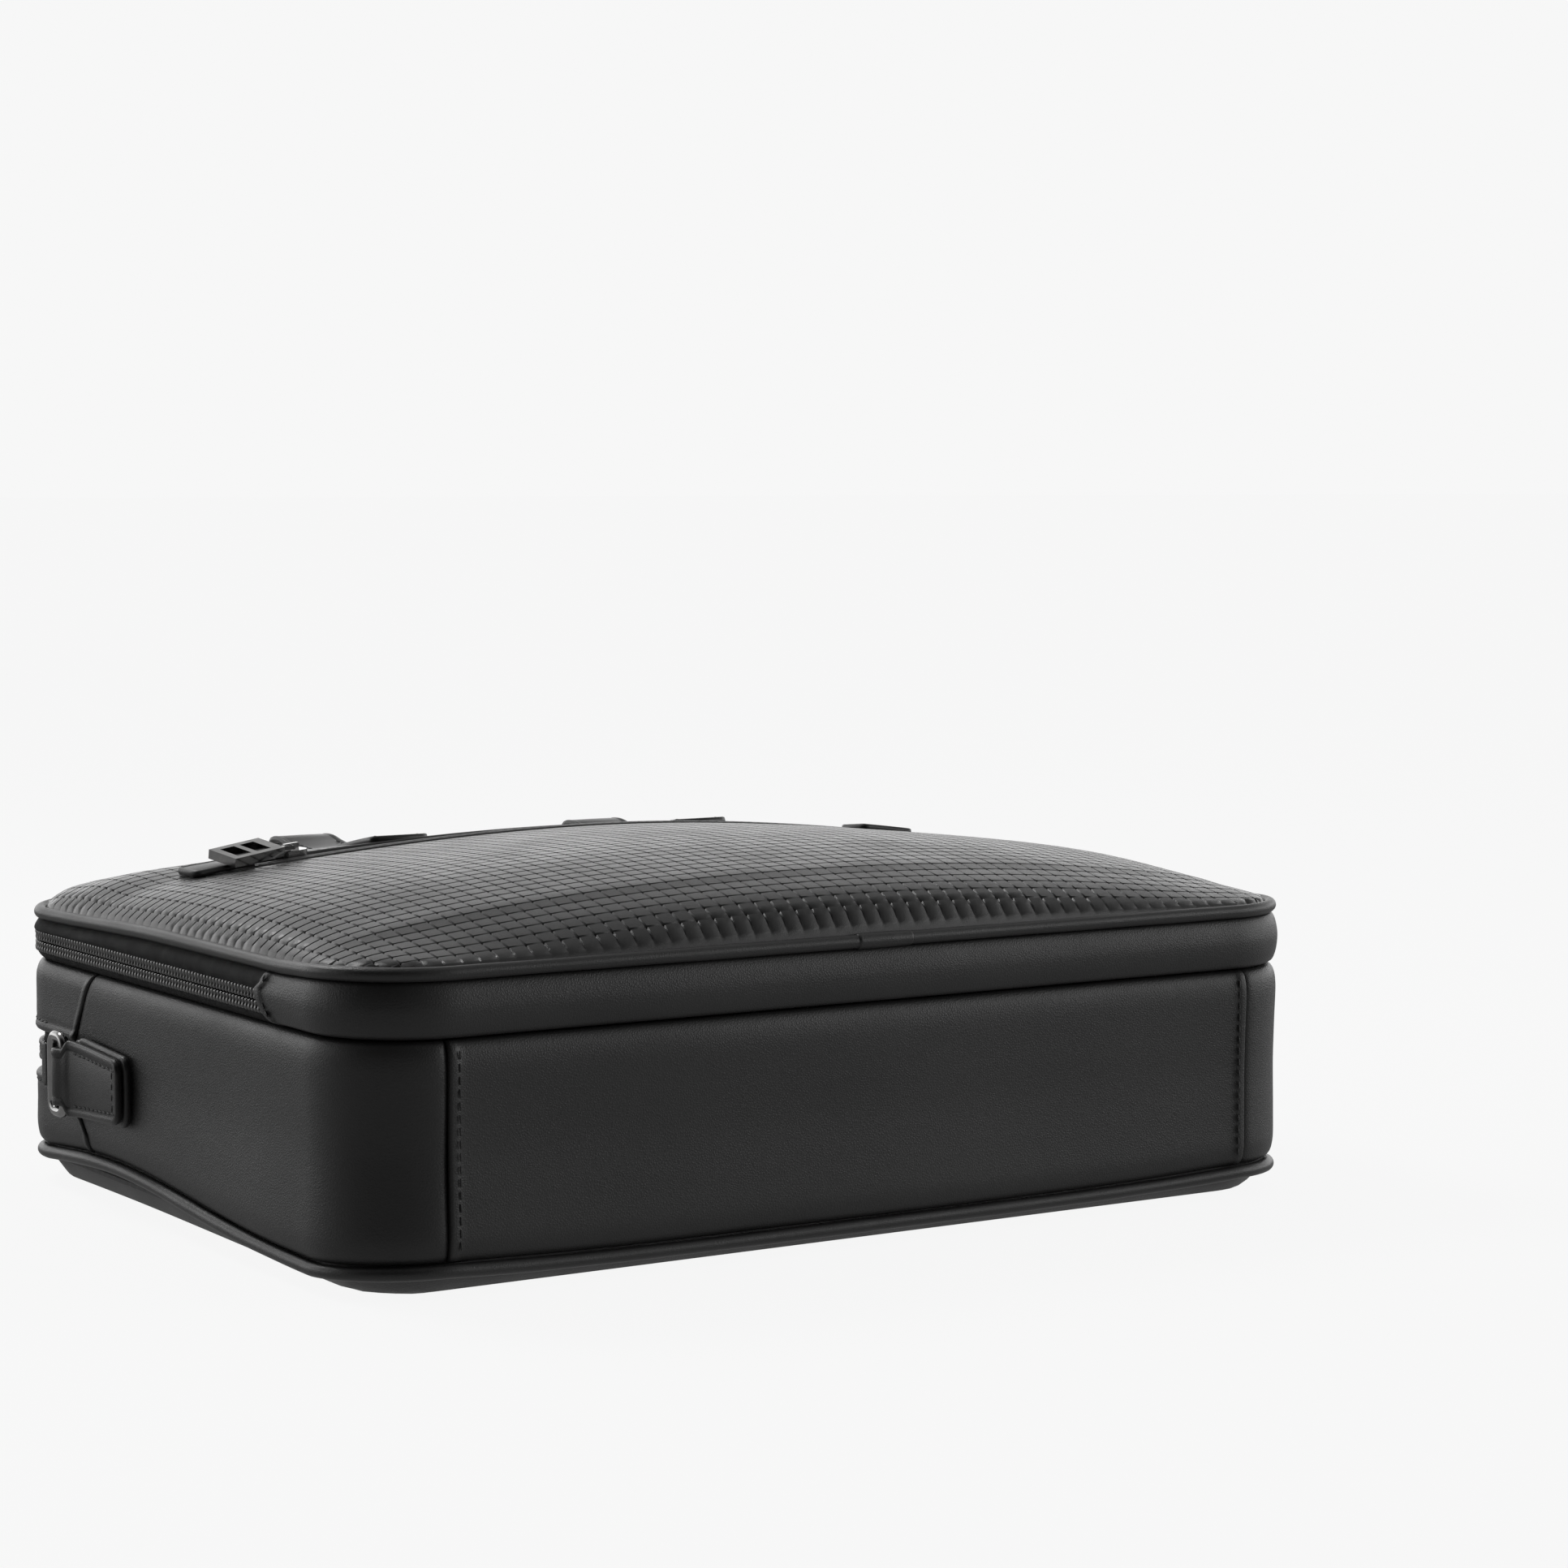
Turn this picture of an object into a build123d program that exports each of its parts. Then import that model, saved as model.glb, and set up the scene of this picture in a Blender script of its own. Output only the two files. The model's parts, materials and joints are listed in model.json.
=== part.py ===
"""A leather briefcase lying on its back, modelled as the pieces it is sewn and riveted from.

Millimetres. X runs along the length, Y from the base (-Y) to the carrying handles (+Y), Z from
the back panel up to the domed front panel. The origin is on the ground under the middle of the case.
"""

import os
from math import cos, sin

from build123d import *

# ---- driving dimensions: the case ---------------------------------------------------------------
LENGTH = 400.0
HEIGHT = 304.0
CORNER_R = 38.0
LEATHER = 3.0
GAP = 0.3  # clearance between pieces that are sewn or that move apart
REACH = 20.0  # how far the cutting blocks run past the case

BACK_FLAT_INSET = 20.0  # the face that the case lies on
BACK_EDGE_INSET = 5.0
BACK_BEVEL_Z = 4.6
STRAP_CHANNEL = 84.0  # hollow in the back panel over each rear handle strap
STRAP_CHANNEL_DEEP = 4.2

Z_WALL_LOW = 9.8  # groove between back piping and main wall
Z_GROOVE = 85.0  # groove between main wall and front compartment
Z_BAND_LOW = 85.4
Z_BAND_TOP = 104.4  # seam under the front piping
PIPING_R = 2.4
Z_BACK_PIPING = 7.2
Z_FRONT_PIPING = 107.0

BASE_SEAM_X = 166.0  # base panel runs between these two seams
TOP_SEAM_Y = 84.0  # side wall ends and the zipped top gusset begins
FLAP_X = 120.0  # half length of the strip that folds out at the mouth
BOARD = 1.8
BASE_BOARD_X = 150.0
LINING = 0.8
Z_DIVIDER = 80.0

SLEEVE_X = 176.0
SLEEVE_LOW_Y = -144.0
SLEEVE_TOP_Y = 100.0
SLEEVE_Z = (12.0, 36.0)
SLEEVE_PAD = 4.0

# ---- driving dimensions: zips -------------------------------------------------------------------
MAIN_ZIP_Z = 49.5
MAIN_ZIP_SLOT = 17.0
MAIN_ZIP_END_Y = 109.0
FRONT_ZIP_Z = 92.4
FRONT_ZIP_END_Y = -85.5
TOOTH_ROW = 3.7  # width of one row of zip teeth
TOOTH_DEEP = 2.2
FRONT_TOOTH_DEEP = 1.2
TAPE = 1.2
TAPE_TUCK_Z = 6.0  # how far a tape runs behind the leather that it is sewn to
TAPE_TUCK_Y = 18.0
FRONT_TAPE_INSET = 1.6
FRONT_TEETH_INSET = 0.4

SLIDER_LENGTH, SLIDER_WIDTH, SLIDER_THICK = 11.0, 9.0, 3.6
SLIDER_CORNER_R = 2.4
BAIL_LENGTH, BAIL_WIDTH, BAIL_HEIGHT = 6.0, 1.6, 2.6
EYE_R = 0.8
EYE_RISE = 1.1
EYE_CLEAR = 0.15
LINK_REACH = 8.0  # from the eye to the near end of the puller
LINK_BAR = 1.4
LINK_HALF = 2.6

# ---- driving dimensions: the front panel --------------------------------------------------------
COVER_SPLIT_Y = -88.0  # the front panel bends here when the front compartment opens
POCKET_Y = 68.0  # line of the zip across the front panel
POCKET_HALF = 150.0
POCKET_SLOT = 10.0
POCKET_SLIDER_X = -118.0
PANEL_THICKNESS = 5.0
PANEL_INSET = 4.9
PANEL_INNER_INSET = 10.0
PANEL_EDGE = 1.8  # height of the flat edge that is sewn into the piping
BAG_Y = (-70.0, 84.0)
BAG_X = 160.0
POCKET_TAB_X = (-161.5, -136.0)
POCKET_TAB_HALF = 9.0
POCKET_TAB_RISE = 2.8

# The front panel is a dome: this profile in Y, turned about an axis along Y far below the case.
DOME_RADIUS = 1100.0
DOME_AT_ZIP = 129.3
DOME_AXIS_Z = DOME_AT_ZIP - DOME_RADIUS
DOME_BASE = 60.0
DOME_ARC = 12.0  # degrees each side of the middle
DOME_PROFILE = [
    (-149.0, 109.5),
    (-130.0, 123.0),
    (-100.0, 130.3),
    (-55.0, 133.6),
    (0.0, 133.4),
    (POCKET_Y, DOME_AT_ZIP),
    (110.0, 122.0),
    (135.0, 114.5),
    (149.0, 109.5),
]

# ---- driving dimensions: handles and strap rings ------------------------------------------------
STRAP_X = 68.0  # handle straps, either side of the middle
STRAP_WIDTH = 25.0
HANDLE_PIVOT_Y = 165.5
FRONT_PIVOT_Z = 117.0
REAR_PIVOT_Z = 8.0
BAR_R = 2.0
LOOP_R = 5.6
LOOP_OVERLAP = 1.0  # how far the strap runs into its loop
FRONT_STRAP_TOP = [(74, 129.6), (110, 123.2), (128, 120.0), (140, 119.6), (152, 121.4), (165.5, 122.6)]
FRONT_STRAP_UNDER = [(165.5, 119.4), (152, 118.0), (140, 116.0), (128, 115.6), (110, 118.0), (74, 125.0)]
REAR_STRAP = [(111, 1.0), (150, 1.0), (165.5, 2.4), (165.5, 5.2), (149, 4.1), (111, 4.1)]

RING_WIDTH = STRAP_WIDTH + 8.0
RING_CORNER_R = 5.0
RING_DROP = 17.0  # from the bar in the strap to the bar in the handle end
END_R = 5.0
END_WIDTH = 18.0
END_REACH = 12.0
END_THICK = 7.2
GRIP_R = 6.0
GRIP_DROP = 62.0  # from the pivot to the middle of the grip
GRIP_BEND_R = 22.0

DRING_Z = 46.5
DRING_Y = 79.5
DRING_X = LENGTH / 2 + 5.4
DRING_WIDTH = 28.4
DRING_REACH = 11.6
DRING_CORNER_R = 3.2
TAB_ROOT = (30.0, 11.8)  # Y and half width
TAB_END = (73.5, 14.2)
TAB_THICK = 5.6
TAB_LOOP_R = 4.6
TAB_LOOP_WIDTH = 21.6
TAB_NECK_Y = 7.0
TAB_NECK_X = 6.4

HX, HY = LENGTH / 2, HEIGHT / 2
TAPE_INSET = LEATHER + GAP
HALF_GAP = GAP / 2
os.makedirs("parts", exist_ok=True)


# ---- helpers ------------------------------------------------------------------------------------
def slab(z0, z1, inset):
    """A rounded plate inside the outline of the case."""
    with BuildPart() as plate:
        with BuildSketch(Plane.XY.offset(z0)):
            RectangleRounded(LENGTH - 2 * inset, HEIGHT - 2 * inset, CORNER_R - inset)
        extrude(amount=z1 - z0)
    return plate.part


def wall(z0, z1, inset=0.0, thickness=LEATHER):
    """A band that follows the rounded outline of the case between two heights."""
    outside = slab(z0, z1, inset)
    inside = slab(z0, z1, inset + thickness)
    with BuildPart() as band:
        add(outside)
        add(inside, mode=Mode.SUBTRACT)
    return band.part


def block(x, y, z):
    """A box between the limits given as pairs."""
    with BuildPart() as box:
        with Locations(((x[0] + x[1]) / 2, (y[0] + y[1]) / 2, (z[0] + z[1]) / 2)):
            Box(x[1] - x[0], y[1] - y[0], z[1] - z[0])
    return box.part


def dome(lowered=0.0, inset=PANEL_INSET, floor=Z_BAND_TOP):
    """The solid under the front panel's outer surface, lowered by some depth and inset."""
    with BuildPart() as half:
        with BuildSketch(Plane.YZ):
            with BuildLine():
                curve = Spline(*[(y, z - lowered) for y, z in DOME_PROFILE])
                start, end = curve @ 0, curve @ 1
                Polyline(end, (end.X, DOME_BASE), (start.X, DOME_BASE), start)
            make_face()
        revolve(axis=Axis((0, 0, DOME_AXIS_Z), (0, 1, 0)), revolution_arc=DOME_ARC)
    outline = slab(floor, floor + HEIGHT, inset)
    with BuildPart() as whole:
        add(half.part)
        mirror(about=Plane.YZ)
        add(outline, mode=Mode.INTERSECT)
    return whole.part


def dome_layer(top, bottom, x, y):
    """A sheet that follows the dome between two depths, over a rectangle."""
    above = dome(lowered=top, inset=PANEL_INNER_INSET - 1, floor=DOME_BASE)
    below = dome(lowered=bottom, inset=PANEL_INNER_INSET - 1, floor=DOME_BASE - 1)
    return portion(above - below, (x, y, (Z_BAND_TOP - PANEL_THICKNESS * 2, DOME_AT_ZIP * 2)))


def portion(stock, *regions):
    """The share of the stock that lies inside any of the regions, each given as three ranges."""
    pieces = [stock & block(*region) for region in regions]
    with BuildPart() as share:
        for piece in pieces:
            add(piece)
    return share.part


def both_sides(solid):
    """A solid with its mirror image on the other side of the middle."""
    with BuildPart() as pair:
        add(solid)
        mirror(about=Plane.YZ)
    return pair.part


def tube_loop(plane, width, height, radius, tube_r):
    """A round bar bent into a closed rounded rectangle."""
    with BuildSketch(plane, mode=Mode.PRIVATE) as outline:
        RectangleRounded(width, height, radius)
    path = outline.sketch.face().outer_wire()
    with BuildPart() as loop:
        with BuildSketch(Plane(origin=path @ 0, z_dir=path % 0)):
            Circle(tube_r)
        sweep(path=path)
    return loop.part


def piping(z):
    """The round piping that runs round the edge of the case."""
    inset = PIPING_R
    plane = Plane.XY.offset(z)
    return tube_loop(plane, LENGTH - 2 * inset, HEIGHT - 2 * inset, CORNER_R - inset, PIPING_R)


def save(solid, name):
    solid.label = name
    export_step(solid, f"parts/{name}.step")


ALL_X = (-HX - REACH, HX + REACH)
ALL_Z = (-REACH, LENGTH)
BELOW_SPLIT = (-HY - REACH, COVER_SPLIT_Y - GAP)
ABOVE_SPLIT = (COVER_SPLIT_Y + GAP, HY + REACH)

# ---- back of the case ---------------------------------------------------------------------------
back_rim = slab(BACK_BEVEL_Z, Z_WALL_LOW, BACK_EDGE_INSET)
with BuildPart() as back_panel:
    for z, inset in ((0.0, BACK_FLAT_INSET), (BACK_BEVEL_Z, BACK_EDGE_INSET)):
        with BuildSketch(Plane.XY.offset(z)):
            RectangleRounded(LENGTH - 2 * inset, HEIGHT - 2 * inset, CORNER_R - inset)
    loft()
    add(back_rim)
    with Locations((0, HY, 0)):
        with GridLocations(2 * STRAP_X, 1, 2, 1):
            Box(STRAP_WIDTH + 2, STRAP_CHANNEL, 2 * STRAP_CHANNEL_DEEP, mode=Mode.SUBTRACT)
save(back_panel.part, "back_panel")
save(piping(Z_BACK_PIPING), "back_piping")
save(slab(Z_WALL_LOW + GAP, Z_WALL_LOW + BOARD, LEATHER + 4 * GAP), "back_board")

# ---- main wall ----------------------------------------------------------------------------------
main_wall = wall(Z_WALL_LOW, Z_GROOVE)
bottom_y = (-HY - REACH, -HY + LEATHER)
save(portion(main_wall, ((-BASE_SEAM_X, BASE_SEAM_X), bottom_y, ALL_Z)), "base_panel")
side_x = (-HX - REACH, -BASE_SEAM_X - HALF_GAP)
side_wall = portion(main_wall, (side_x, (-HY - REACH, TOP_SEAM_Y), ALL_Z))
save(side_wall, "side_wall_left")
save(side_wall.mirror(Plane.YZ), "side_wall_right")

slot_z = (MAIN_ZIP_Z - MAIN_ZIP_SLOT / 2, MAIN_ZIP_Z + MAIN_ZIP_SLOT / 2)
top_y = (TOP_SEAM_Y + HALF_GAP, HY + REACH)
flap_x = (-FLAP_X + GAP, FLAP_X - GAP)
end_x = (-HX - REACH, -FLAP_X)
save(portion(main_wall, (ALL_X, top_y, (slot_z[1], Z_GROOVE))), "top_strip_front")
rear_end = portion(main_wall, (end_x, top_y, (Z_WALL_LOW, slot_z[0])))
save(both_sides(rear_end), "top_strip_rear_ends")
flap_z = (Z_WALL_LOW + 2 * GAP, slot_z[0])
save(portion(main_wall, (flap_x, top_y, flap_z)), "mouth_flap")

# ---- main zip -----------------------------------------------------------------------------------
tape_wall = wall(Z_WALL_LOW, Z_GROOVE, TAPE_INSET, TAPE)
teeth_wall = wall(Z_WALL_LOW, Z_GROOVE, TAPE_INSET - TOOTH_DEEP, TOOTH_DEEP)
tape_y = (MAIN_ZIP_END_Y - TAPE_TUCK_Y, HY + REACH)
teeth_y = (MAIN_ZIP_END_Y, HY + REACH)
rear_edge = MAIN_ZIP_Z - HALF_GAP
front_edge = MAIN_ZIP_Z + HALF_GAP
rear_tape_z = (slot_z[0] - TAPE_TUCK_Z, rear_edge)
rear_teeth_z = (rear_edge - TOOTH_ROW, rear_edge)
front_tape_z = (front_edge, slot_z[1] + TAPE_TUCK_Z)
front_teeth_z = (front_edge, front_edge + TOOTH_ROW)
save(portion(tape_wall, (ALL_X, tape_y, front_tape_z)), "main_zip_tape_front")
save(portion(teeth_wall, (ALL_X, teeth_y, front_teeth_z)), "main_zip_teeth_front")
save(both_sides(portion(tape_wall, (end_x, tape_y, rear_tape_z))), "main_zip_tape_rear_ends")
save(both_sides(portion(teeth_wall, (end_x, teeth_y, rear_teeth_z))), "main_zip_teeth_rear_ends")
save(portion(tape_wall, (flap_x, tape_y, rear_tape_z)), "mouth_flap_tape")
save(portion(teeth_wall, (flap_x, teeth_y, rear_teeth_z)), "mouth_flap_teeth")
patch_y = (TOP_SEAM_Y + GAP, MAIN_ZIP_END_Y)
zip_end = portion(main_wall, ((-HX - REACH, -HX + LEATHER), patch_y, slot_z))
save(both_sides(zip_end), "main_zip_end_patches")

# ---- lining and boards --------------------------------------------------------------------------
lining = wall(Z_WALL_LOW + BOARD + GAP, Z_DIVIDER - GAP, TAPE_INSET, LINING)
save(portion(lining, (ALL_X, (-HY, TOP_SEAM_Y - 2), ALL_Z)), "main_lining")
save(slab(Z_DIVIDER, Z_GROOVE - 2 * GAP, TAPE_INSET), "divider")
board_y = (-HY + TAPE_INSET + LINING + GAP, -HY + TAPE_INSET + LINING + GAP + BOARD)
board_z = (Z_WALL_LOW + BOARD + GAP, Z_DIVIDER - 2 * GAP)
save(block((-BASE_BOARD_X, BASE_BOARD_X), board_y, board_z), "base_board")

sleeve_outside = block((-SLEEVE_X, SLEEVE_X), (SLEEVE_LOW_Y, SLEEVE_TOP_Y), SLEEVE_Z)
sleeve_inside = block(
    (-SLEEVE_X + SLEEVE_PAD, SLEEVE_X - SLEEVE_PAD),
    (SLEEVE_LOW_Y + SLEEVE_PAD, SLEEVE_TOP_Y + REACH),
    (SLEEVE_Z[0], SLEEVE_Z[1] - SLEEVE_PAD),
)
save(sleeve_outside - sleeve_inside, "laptop_sleeve")

# ---- front compartment, fixed part --------------------------------------------------------------
band = wall(Z_BAND_LOW, Z_BAND_TOP)
save(portion(band, (ALL_X, (-HY - REACH, FRONT_ZIP_END_Y), ALL_Z)), "front_band")
front_tape = wall(Z_BAND_LOW, Z_BAND_TOP, FRONT_TAPE_INSET, TAPE)
front_teeth = wall(Z_BAND_LOW, Z_BAND_TOP, FRONT_TEETH_INSET, FRONT_TOOTH_DEEP)
zip_y = (FRONT_ZIP_END_Y + GAP, HY + REACH)
lower_edge = FRONT_ZIP_Z - HALF_GAP
upper_edge = FRONT_ZIP_Z + HALF_GAP
lower_teeth_z = (lower_edge - TOOTH_ROW, lower_edge)
upper_teeth_z = (upper_edge, upper_edge + TOOTH_ROW)
save(portion(front_tape, (ALL_X, zip_y, (Z_GROOVE, lower_edge))), "front_zip_tape_lower")
save(portion(front_teeth, (ALL_X, zip_y, lower_teeth_z)), "front_zip_teeth_lower")
front_piping = piping(Z_FRONT_PIPING)
save(portion(front_piping, (ALL_X, BELOW_SPLIT, ALL_Z)), "front_piping_lower")

outer_dome = dome()
inner_dome = dome(lowered=PANEL_THICKNESS, inset=PANEL_INNER_INSET, floor=Z_BAND_TOP - 2)
edge_slab = slab(Z_BAND_TOP, Z_BAND_TOP + PANEL_EDGE, PANEL_INSET)
with BuildPart() as panel:
    add(outer_dome)
    add(edge_slab)
    add(inner_dome, mode=Mode.SUBTRACT)
save(portion(panel.part, (ALL_X, BELOW_SPLIT, ALL_Z)), "front_panel_lower")

# ---- front compartment, opening part ------------------------------------------------------------
upper_panel = portion(panel.part, (ALL_X, ABOVE_SPLIT, ALL_Z))
with BuildPart() as front_panel_upper:
    add(upper_panel)
    with Locations((0, POCKET_Y, DOME_AT_ZIP)):
        Box(2 * POCKET_HALF, POCKET_SLOT, DOME_BASE, mode=Mode.SUBTRACT)
save(front_panel_upper.part, "front_panel_upper")
save(portion(front_piping, (ALL_X, ABOVE_SPLIT, ALL_Z)), "front_piping_upper")
save(portion(front_tape, (ALL_X, zip_y, (upper_edge, Z_BAND_TOP))), "front_zip_tape_upper")
save(portion(front_teeth, (ALL_X, zip_y, upper_teeth_z)), "front_zip_teeth_upper")

pocket_x = (-POCKET_HALF + GAP, POCKET_HALF - GAP)
pocket_tape_y = (POCKET_Y - POCKET_SLOT / 2 + HALF_GAP, POCKET_Y + POCKET_SLOT / 2 - HALF_GAP)
pocket_teeth_y = (POCKET_Y - SLIDER_WIDTH / 3, POCKET_Y + SLIDER_WIDTH / 3)
teeth_top = FRONT_TOOTH_DEEP - FRONT_TEETH_INSET
tape_top = teeth_top + FRONT_TOOTH_DEEP
save(dome_layer(tape_top, tape_top + TAPE, pocket_x, pocket_tape_y), "pocket_zip_tape")
save(dome_layer(teeth_top, tape_top, pocket_x, pocket_teeth_y), "pocket_zip_teeth")
bag_top = PANEL_THICKNESS + GAP
save(dome_layer(bag_top, bag_top + LINING, (-BAG_X, BAG_X), BAG_Y), "pocket_bag")
pocket_tab_y = (POCKET_Y - POCKET_TAB_HALF, POCKET_Y + POCKET_TAB_HALF)
pocket_tab = dome_layer(-POCKET_TAB_RISE, 0.0, POCKET_TAB_X, pocket_tab_y)
save(pocket_tab, "pocket_tab_left")
save(pocket_tab.mirror(Plane.YZ), "pocket_tab_right")


# ---- handles ------------------------------------------------------------------------------------
def handle_straps(profile, pivot_z):
    """A pair of straps with this side profile, each wrapped round the bar of its ring."""
    near_face = Plane.YZ.offset(STRAP_X - STRAP_WIDTH / 2)
    with BuildPart() as one:
        with BuildSketch(near_face):
            with BuildLine():
                Polyline(*profile, close=True)
            make_face()
            with Locations((HANDLE_PIVOT_Y, pivot_z)):
                Circle(LOOP_R - LOOP_OVERLAP, mode=Mode.SUBTRACT)
                Circle(LOOP_R)
                Circle(BAR_R + GAP, mode=Mode.SUBTRACT)
        extrude(amount=STRAP_WIDTH)
    return both_sides(one.part)


def handle_rings(pivot, hang):
    """The two rings that hang from the bars in the straps."""
    plane = Plane(
        origin=pivot + hang * (RING_DROP / 2), x_dir=(1, 0, 0), z_dir=Vector(1, 0, 0).cross(hang)
    )
    ring = tube_loop(plane, RING_WIDTH, RING_DROP, RING_CORNER_R, BAR_R)
    with BuildPart() as rings:
        with GridLocations(2 * STRAP_X, 1, 2, 1):
            add(ring)
    return rings.part


def handle_ends(pivot, hang):
    """The wrapped leather ends that join the rings to the grip."""
    plane = Plane(origin=pivot + hang * RING_DROP, x_dir=hang, z_dir=(1, 0, 0))
    with BuildPart() as ends:
        with BuildSketch(plane.offset(STRAP_X - END_WIDTH / 2)):
            Circle(END_R)
            with Locations((END_REACH / 2, 0)):
                Rectangle(END_REACH, END_THICK)
            Circle(BAR_R + EYE_CLEAR, mode=Mode.SUBTRACT)
        extrude(amount=END_WIDTH)
        mirror(about=Plane.YZ)
    return ends.part


def handle_grip(pivot, hang):
    """The round padded grip, bent down at both ends."""
    left = pivot + Vector(-STRAP_X, 0, 0)
    right = pivot + Vector(STRAP_X, 0, 0)
    near, far = hang * (RING_DROP + END_REACH + GAP), hang * GRIP_DROP
    with BuildPart() as grip:
        with BuildLine() as path:
            FilletPolyline(left + near, left + far, right + far, right + near, radius=GRIP_BEND_R)
        with BuildSketch(Plane(origin=left + near, z_dir=hang)):
            Circle(GRIP_R)
        sweep(path=path.wire())
    return grip.part


front_straps = handle_straps(FRONT_STRAP_TOP + FRONT_STRAP_UNDER, FRONT_PIVOT_Z)
save(front_straps - dome(lowered=-GAP / 6), "front_handle_straps")
save(handle_straps(REAR_STRAP, REAR_PIVOT_Z), "rear_handle_straps")
HANDLES = {
    "front": (Vector(0, HANDLE_PIVOT_Y, FRONT_PIVOT_Z), Vector(0, 0, -1)),
    "rear": (Vector(0, HANDLE_PIVOT_Y, REAR_PIVOT_Z), Vector(0, 1, 0)),
}
for side, (pivot, hang) in HANDLES.items():
    save(handle_rings(pivot, hang), f"{side}_handle_rings")
    save(handle_ends(pivot, hang), f"{side}_handle_ends")
    save(handle_grip(pivot, hang), f"{side}_handle_grip")

# ---- shoulder strap rings and their tabs --------------------------------------------------------
(root_y, root_half), (end_y, end_half) = TAB_ROOT, TAB_END
tab_outline = [
    (root_y, DRING_Z - root_half),
    (end_y, DRING_Z - end_half),
    (end_y, DRING_Z + end_half),
    (root_y, DRING_Z + root_half),
]
with BuildPart() as tab:
    with BuildSketch(Plane.YZ.offset(-HX - GAP)):
        with BuildLine():
            Polyline(*tab_outline, close=True)
        make_face()
    extrude(amount=-TAB_THICK)
    with BuildSketch(Plane.XY.offset(DRING_Z - TAB_LOOP_WIDTH / 2)):
        with Locations((-DRING_X, DRING_Y)):
            Circle(TAB_LOOP_R)
        with Locations((-DRING_X + 1, DRING_Y - TAB_NECK_Y / 2)):
            Rectangle(TAB_NECK_X, TAB_NECK_Y)
        with Locations((-DRING_X, DRING_Y)):
            Circle(BAR_R + GAP, mode=Mode.SUBTRACT)
    extrude(amount=TAB_LOOP_WIDTH)
save(tab.part, "strap_tab_left")
save(tab.part.mirror(Plane.YZ), "strap_tab_right")
dring_plane = Plane(
    origin=(-DRING_X, DRING_Y + DRING_REACH / 2, DRING_Z), x_dir=(0, 0, 1), z_dir=(1, 0, 0)
)
dring = tube_loop(dring_plane, DRING_WIDTH, DRING_REACH, DRING_CORNER_R, BAR_R)
save(dring, "strap_ring_left")
save(dring.mirror(Plane.YZ), "strap_ring_right")


# ---- zip sliders and pulls ----------------------------------------------------------------------
def slider(plane):
    """A zip slider on a plane whose X is the zip and whose Z points out of the case."""
    with BuildPart(plane) as body:
        with Locations((0, 0, SLIDER_THICK / 2)):
            Box(SLIDER_LENGTH, SLIDER_WIDTH, SLIDER_THICK)
        upright = body.edges().filter_by(Axis((0, 0, 0), plane.z_dir))
        fillet(upright, SLIDER_CORNER_R)
        with Locations((0, 0, SLIDER_THICK + BAIL_HEIGHT / 2 - 2 * EYE_CLEAR / 3)):
            Box(BAIL_LENGTH, BAIL_WIDTH, BAIL_HEIGHT)
        with Locations(Location((0, 0, SLIDER_THICK + EYE_RISE), (90, 0, 0))):
            Cylinder(EYE_R + EYE_CLEAR, 2 * SLIDER_WIDTH, mode=Mode.SUBTRACT)
    return body.part


def pull(plane, length, width, thick, windows, turn=0.0):
    """A link and a flat puller with windows, lying along -X of the plane from its origin, the eye.

    The puller is turned about the link's far end by turn degrees.
    """
    frame_width = width / 3
    with BuildPart(plane) as body:
        with Locations(Location((0, 0, 0), (90, 0, 0))):
            Cylinder(EYE_R, 2 * LINK_HALF + LINK_BAR / 2)
        for side in (-1, 1):
            with Locations((-LINK_REACH / 2, side * LINK_HALF, 0)):
                Box(LINK_REACH + LINK_BAR / 4, LINK_BAR, LINK_BAR)
        with Locations(Location((-LINK_REACH, 0, 0), (0, 0, turn))):
            with Locations((-length / 2, 0, 0)):
                Box(length, width, thick)
            for place, size in windows:
                with Locations((-place, 0, 0)):
                    Box(size, width - frame_width, thick + 1, mode=Mode.SUBTRACT)
    return body.part


POCKET_PULL = {"length": 25.0, "width": 15.0, "thick": 2.6, "windows": [(8.4, 7.0), (18.2, 7.0)], "turn": 18.0}
EDGE_PULL = {"length": 18.0, "width": 8.0, "thick": 1.4, "windows": [(4.0, 4.0)]}
EYE_HEIGHT = SLIDER_THICK + EYE_RISE

pocket_angle = POCKET_SLIDER_X / DOME_RADIUS
pocket_out = Vector(sin(pocket_angle), 0, cos(pocket_angle))
pocket_along = Vector(cos(pocket_angle), 0, -sin(pocket_angle))
pocket_base = Vector(0, POCKET_Y, DOME_AXIS_Z) + pocket_out * (DOME_RADIUS + FRONT_TEETH_INSET)
pocket_eye = pocket_base + pocket_out * EYE_HEIGHT
save(slider(Plane(origin=pocket_base, x_dir=pocket_along, z_dir=pocket_out)), "pocket_slider")
eye_plane = Plane(origin=pocket_eye, x_dir=pocket_along, z_dir=pocket_out)
save(pull(eye_plane, **POCKET_PULL), "pocket_pull")

FRONT_SLIDER_X = 7.0
MAIN_SLIDER_X = 148.0
EDGE_SLIDERS = {
    "front_{}_left": (-FRONT_SLIDER_X, FRONT_ZIP_Z, HY + GAP, 1),
    "front_{}_right": (FRONT_SLIDER_X, FRONT_ZIP_Z, HY + GAP, -1),
    "main_{}_left": (-MAIN_SLIDER_X, MAIN_ZIP_Z, HY - 0.7, -1),
    "main_{}_right": (MAIN_SLIDER_X, MAIN_ZIP_Z, HY - 0.7, 1),
}
for name, (x, z, y, facing) in EDGE_SLIDERS.items():
    base = Plane(origin=(x, y, z), x_dir=(facing, 0, 0), z_dir=(0, 1, 0))
    eye = Plane(origin=(x, y + EYE_HEIGHT, z), x_dir=(facing, 0, 0), z_dir=(0, 1, 0))
    save(slider(base), name.format("slider"))
    save(pull(eye, **EDGE_PULL), name.format("pull"))
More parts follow.
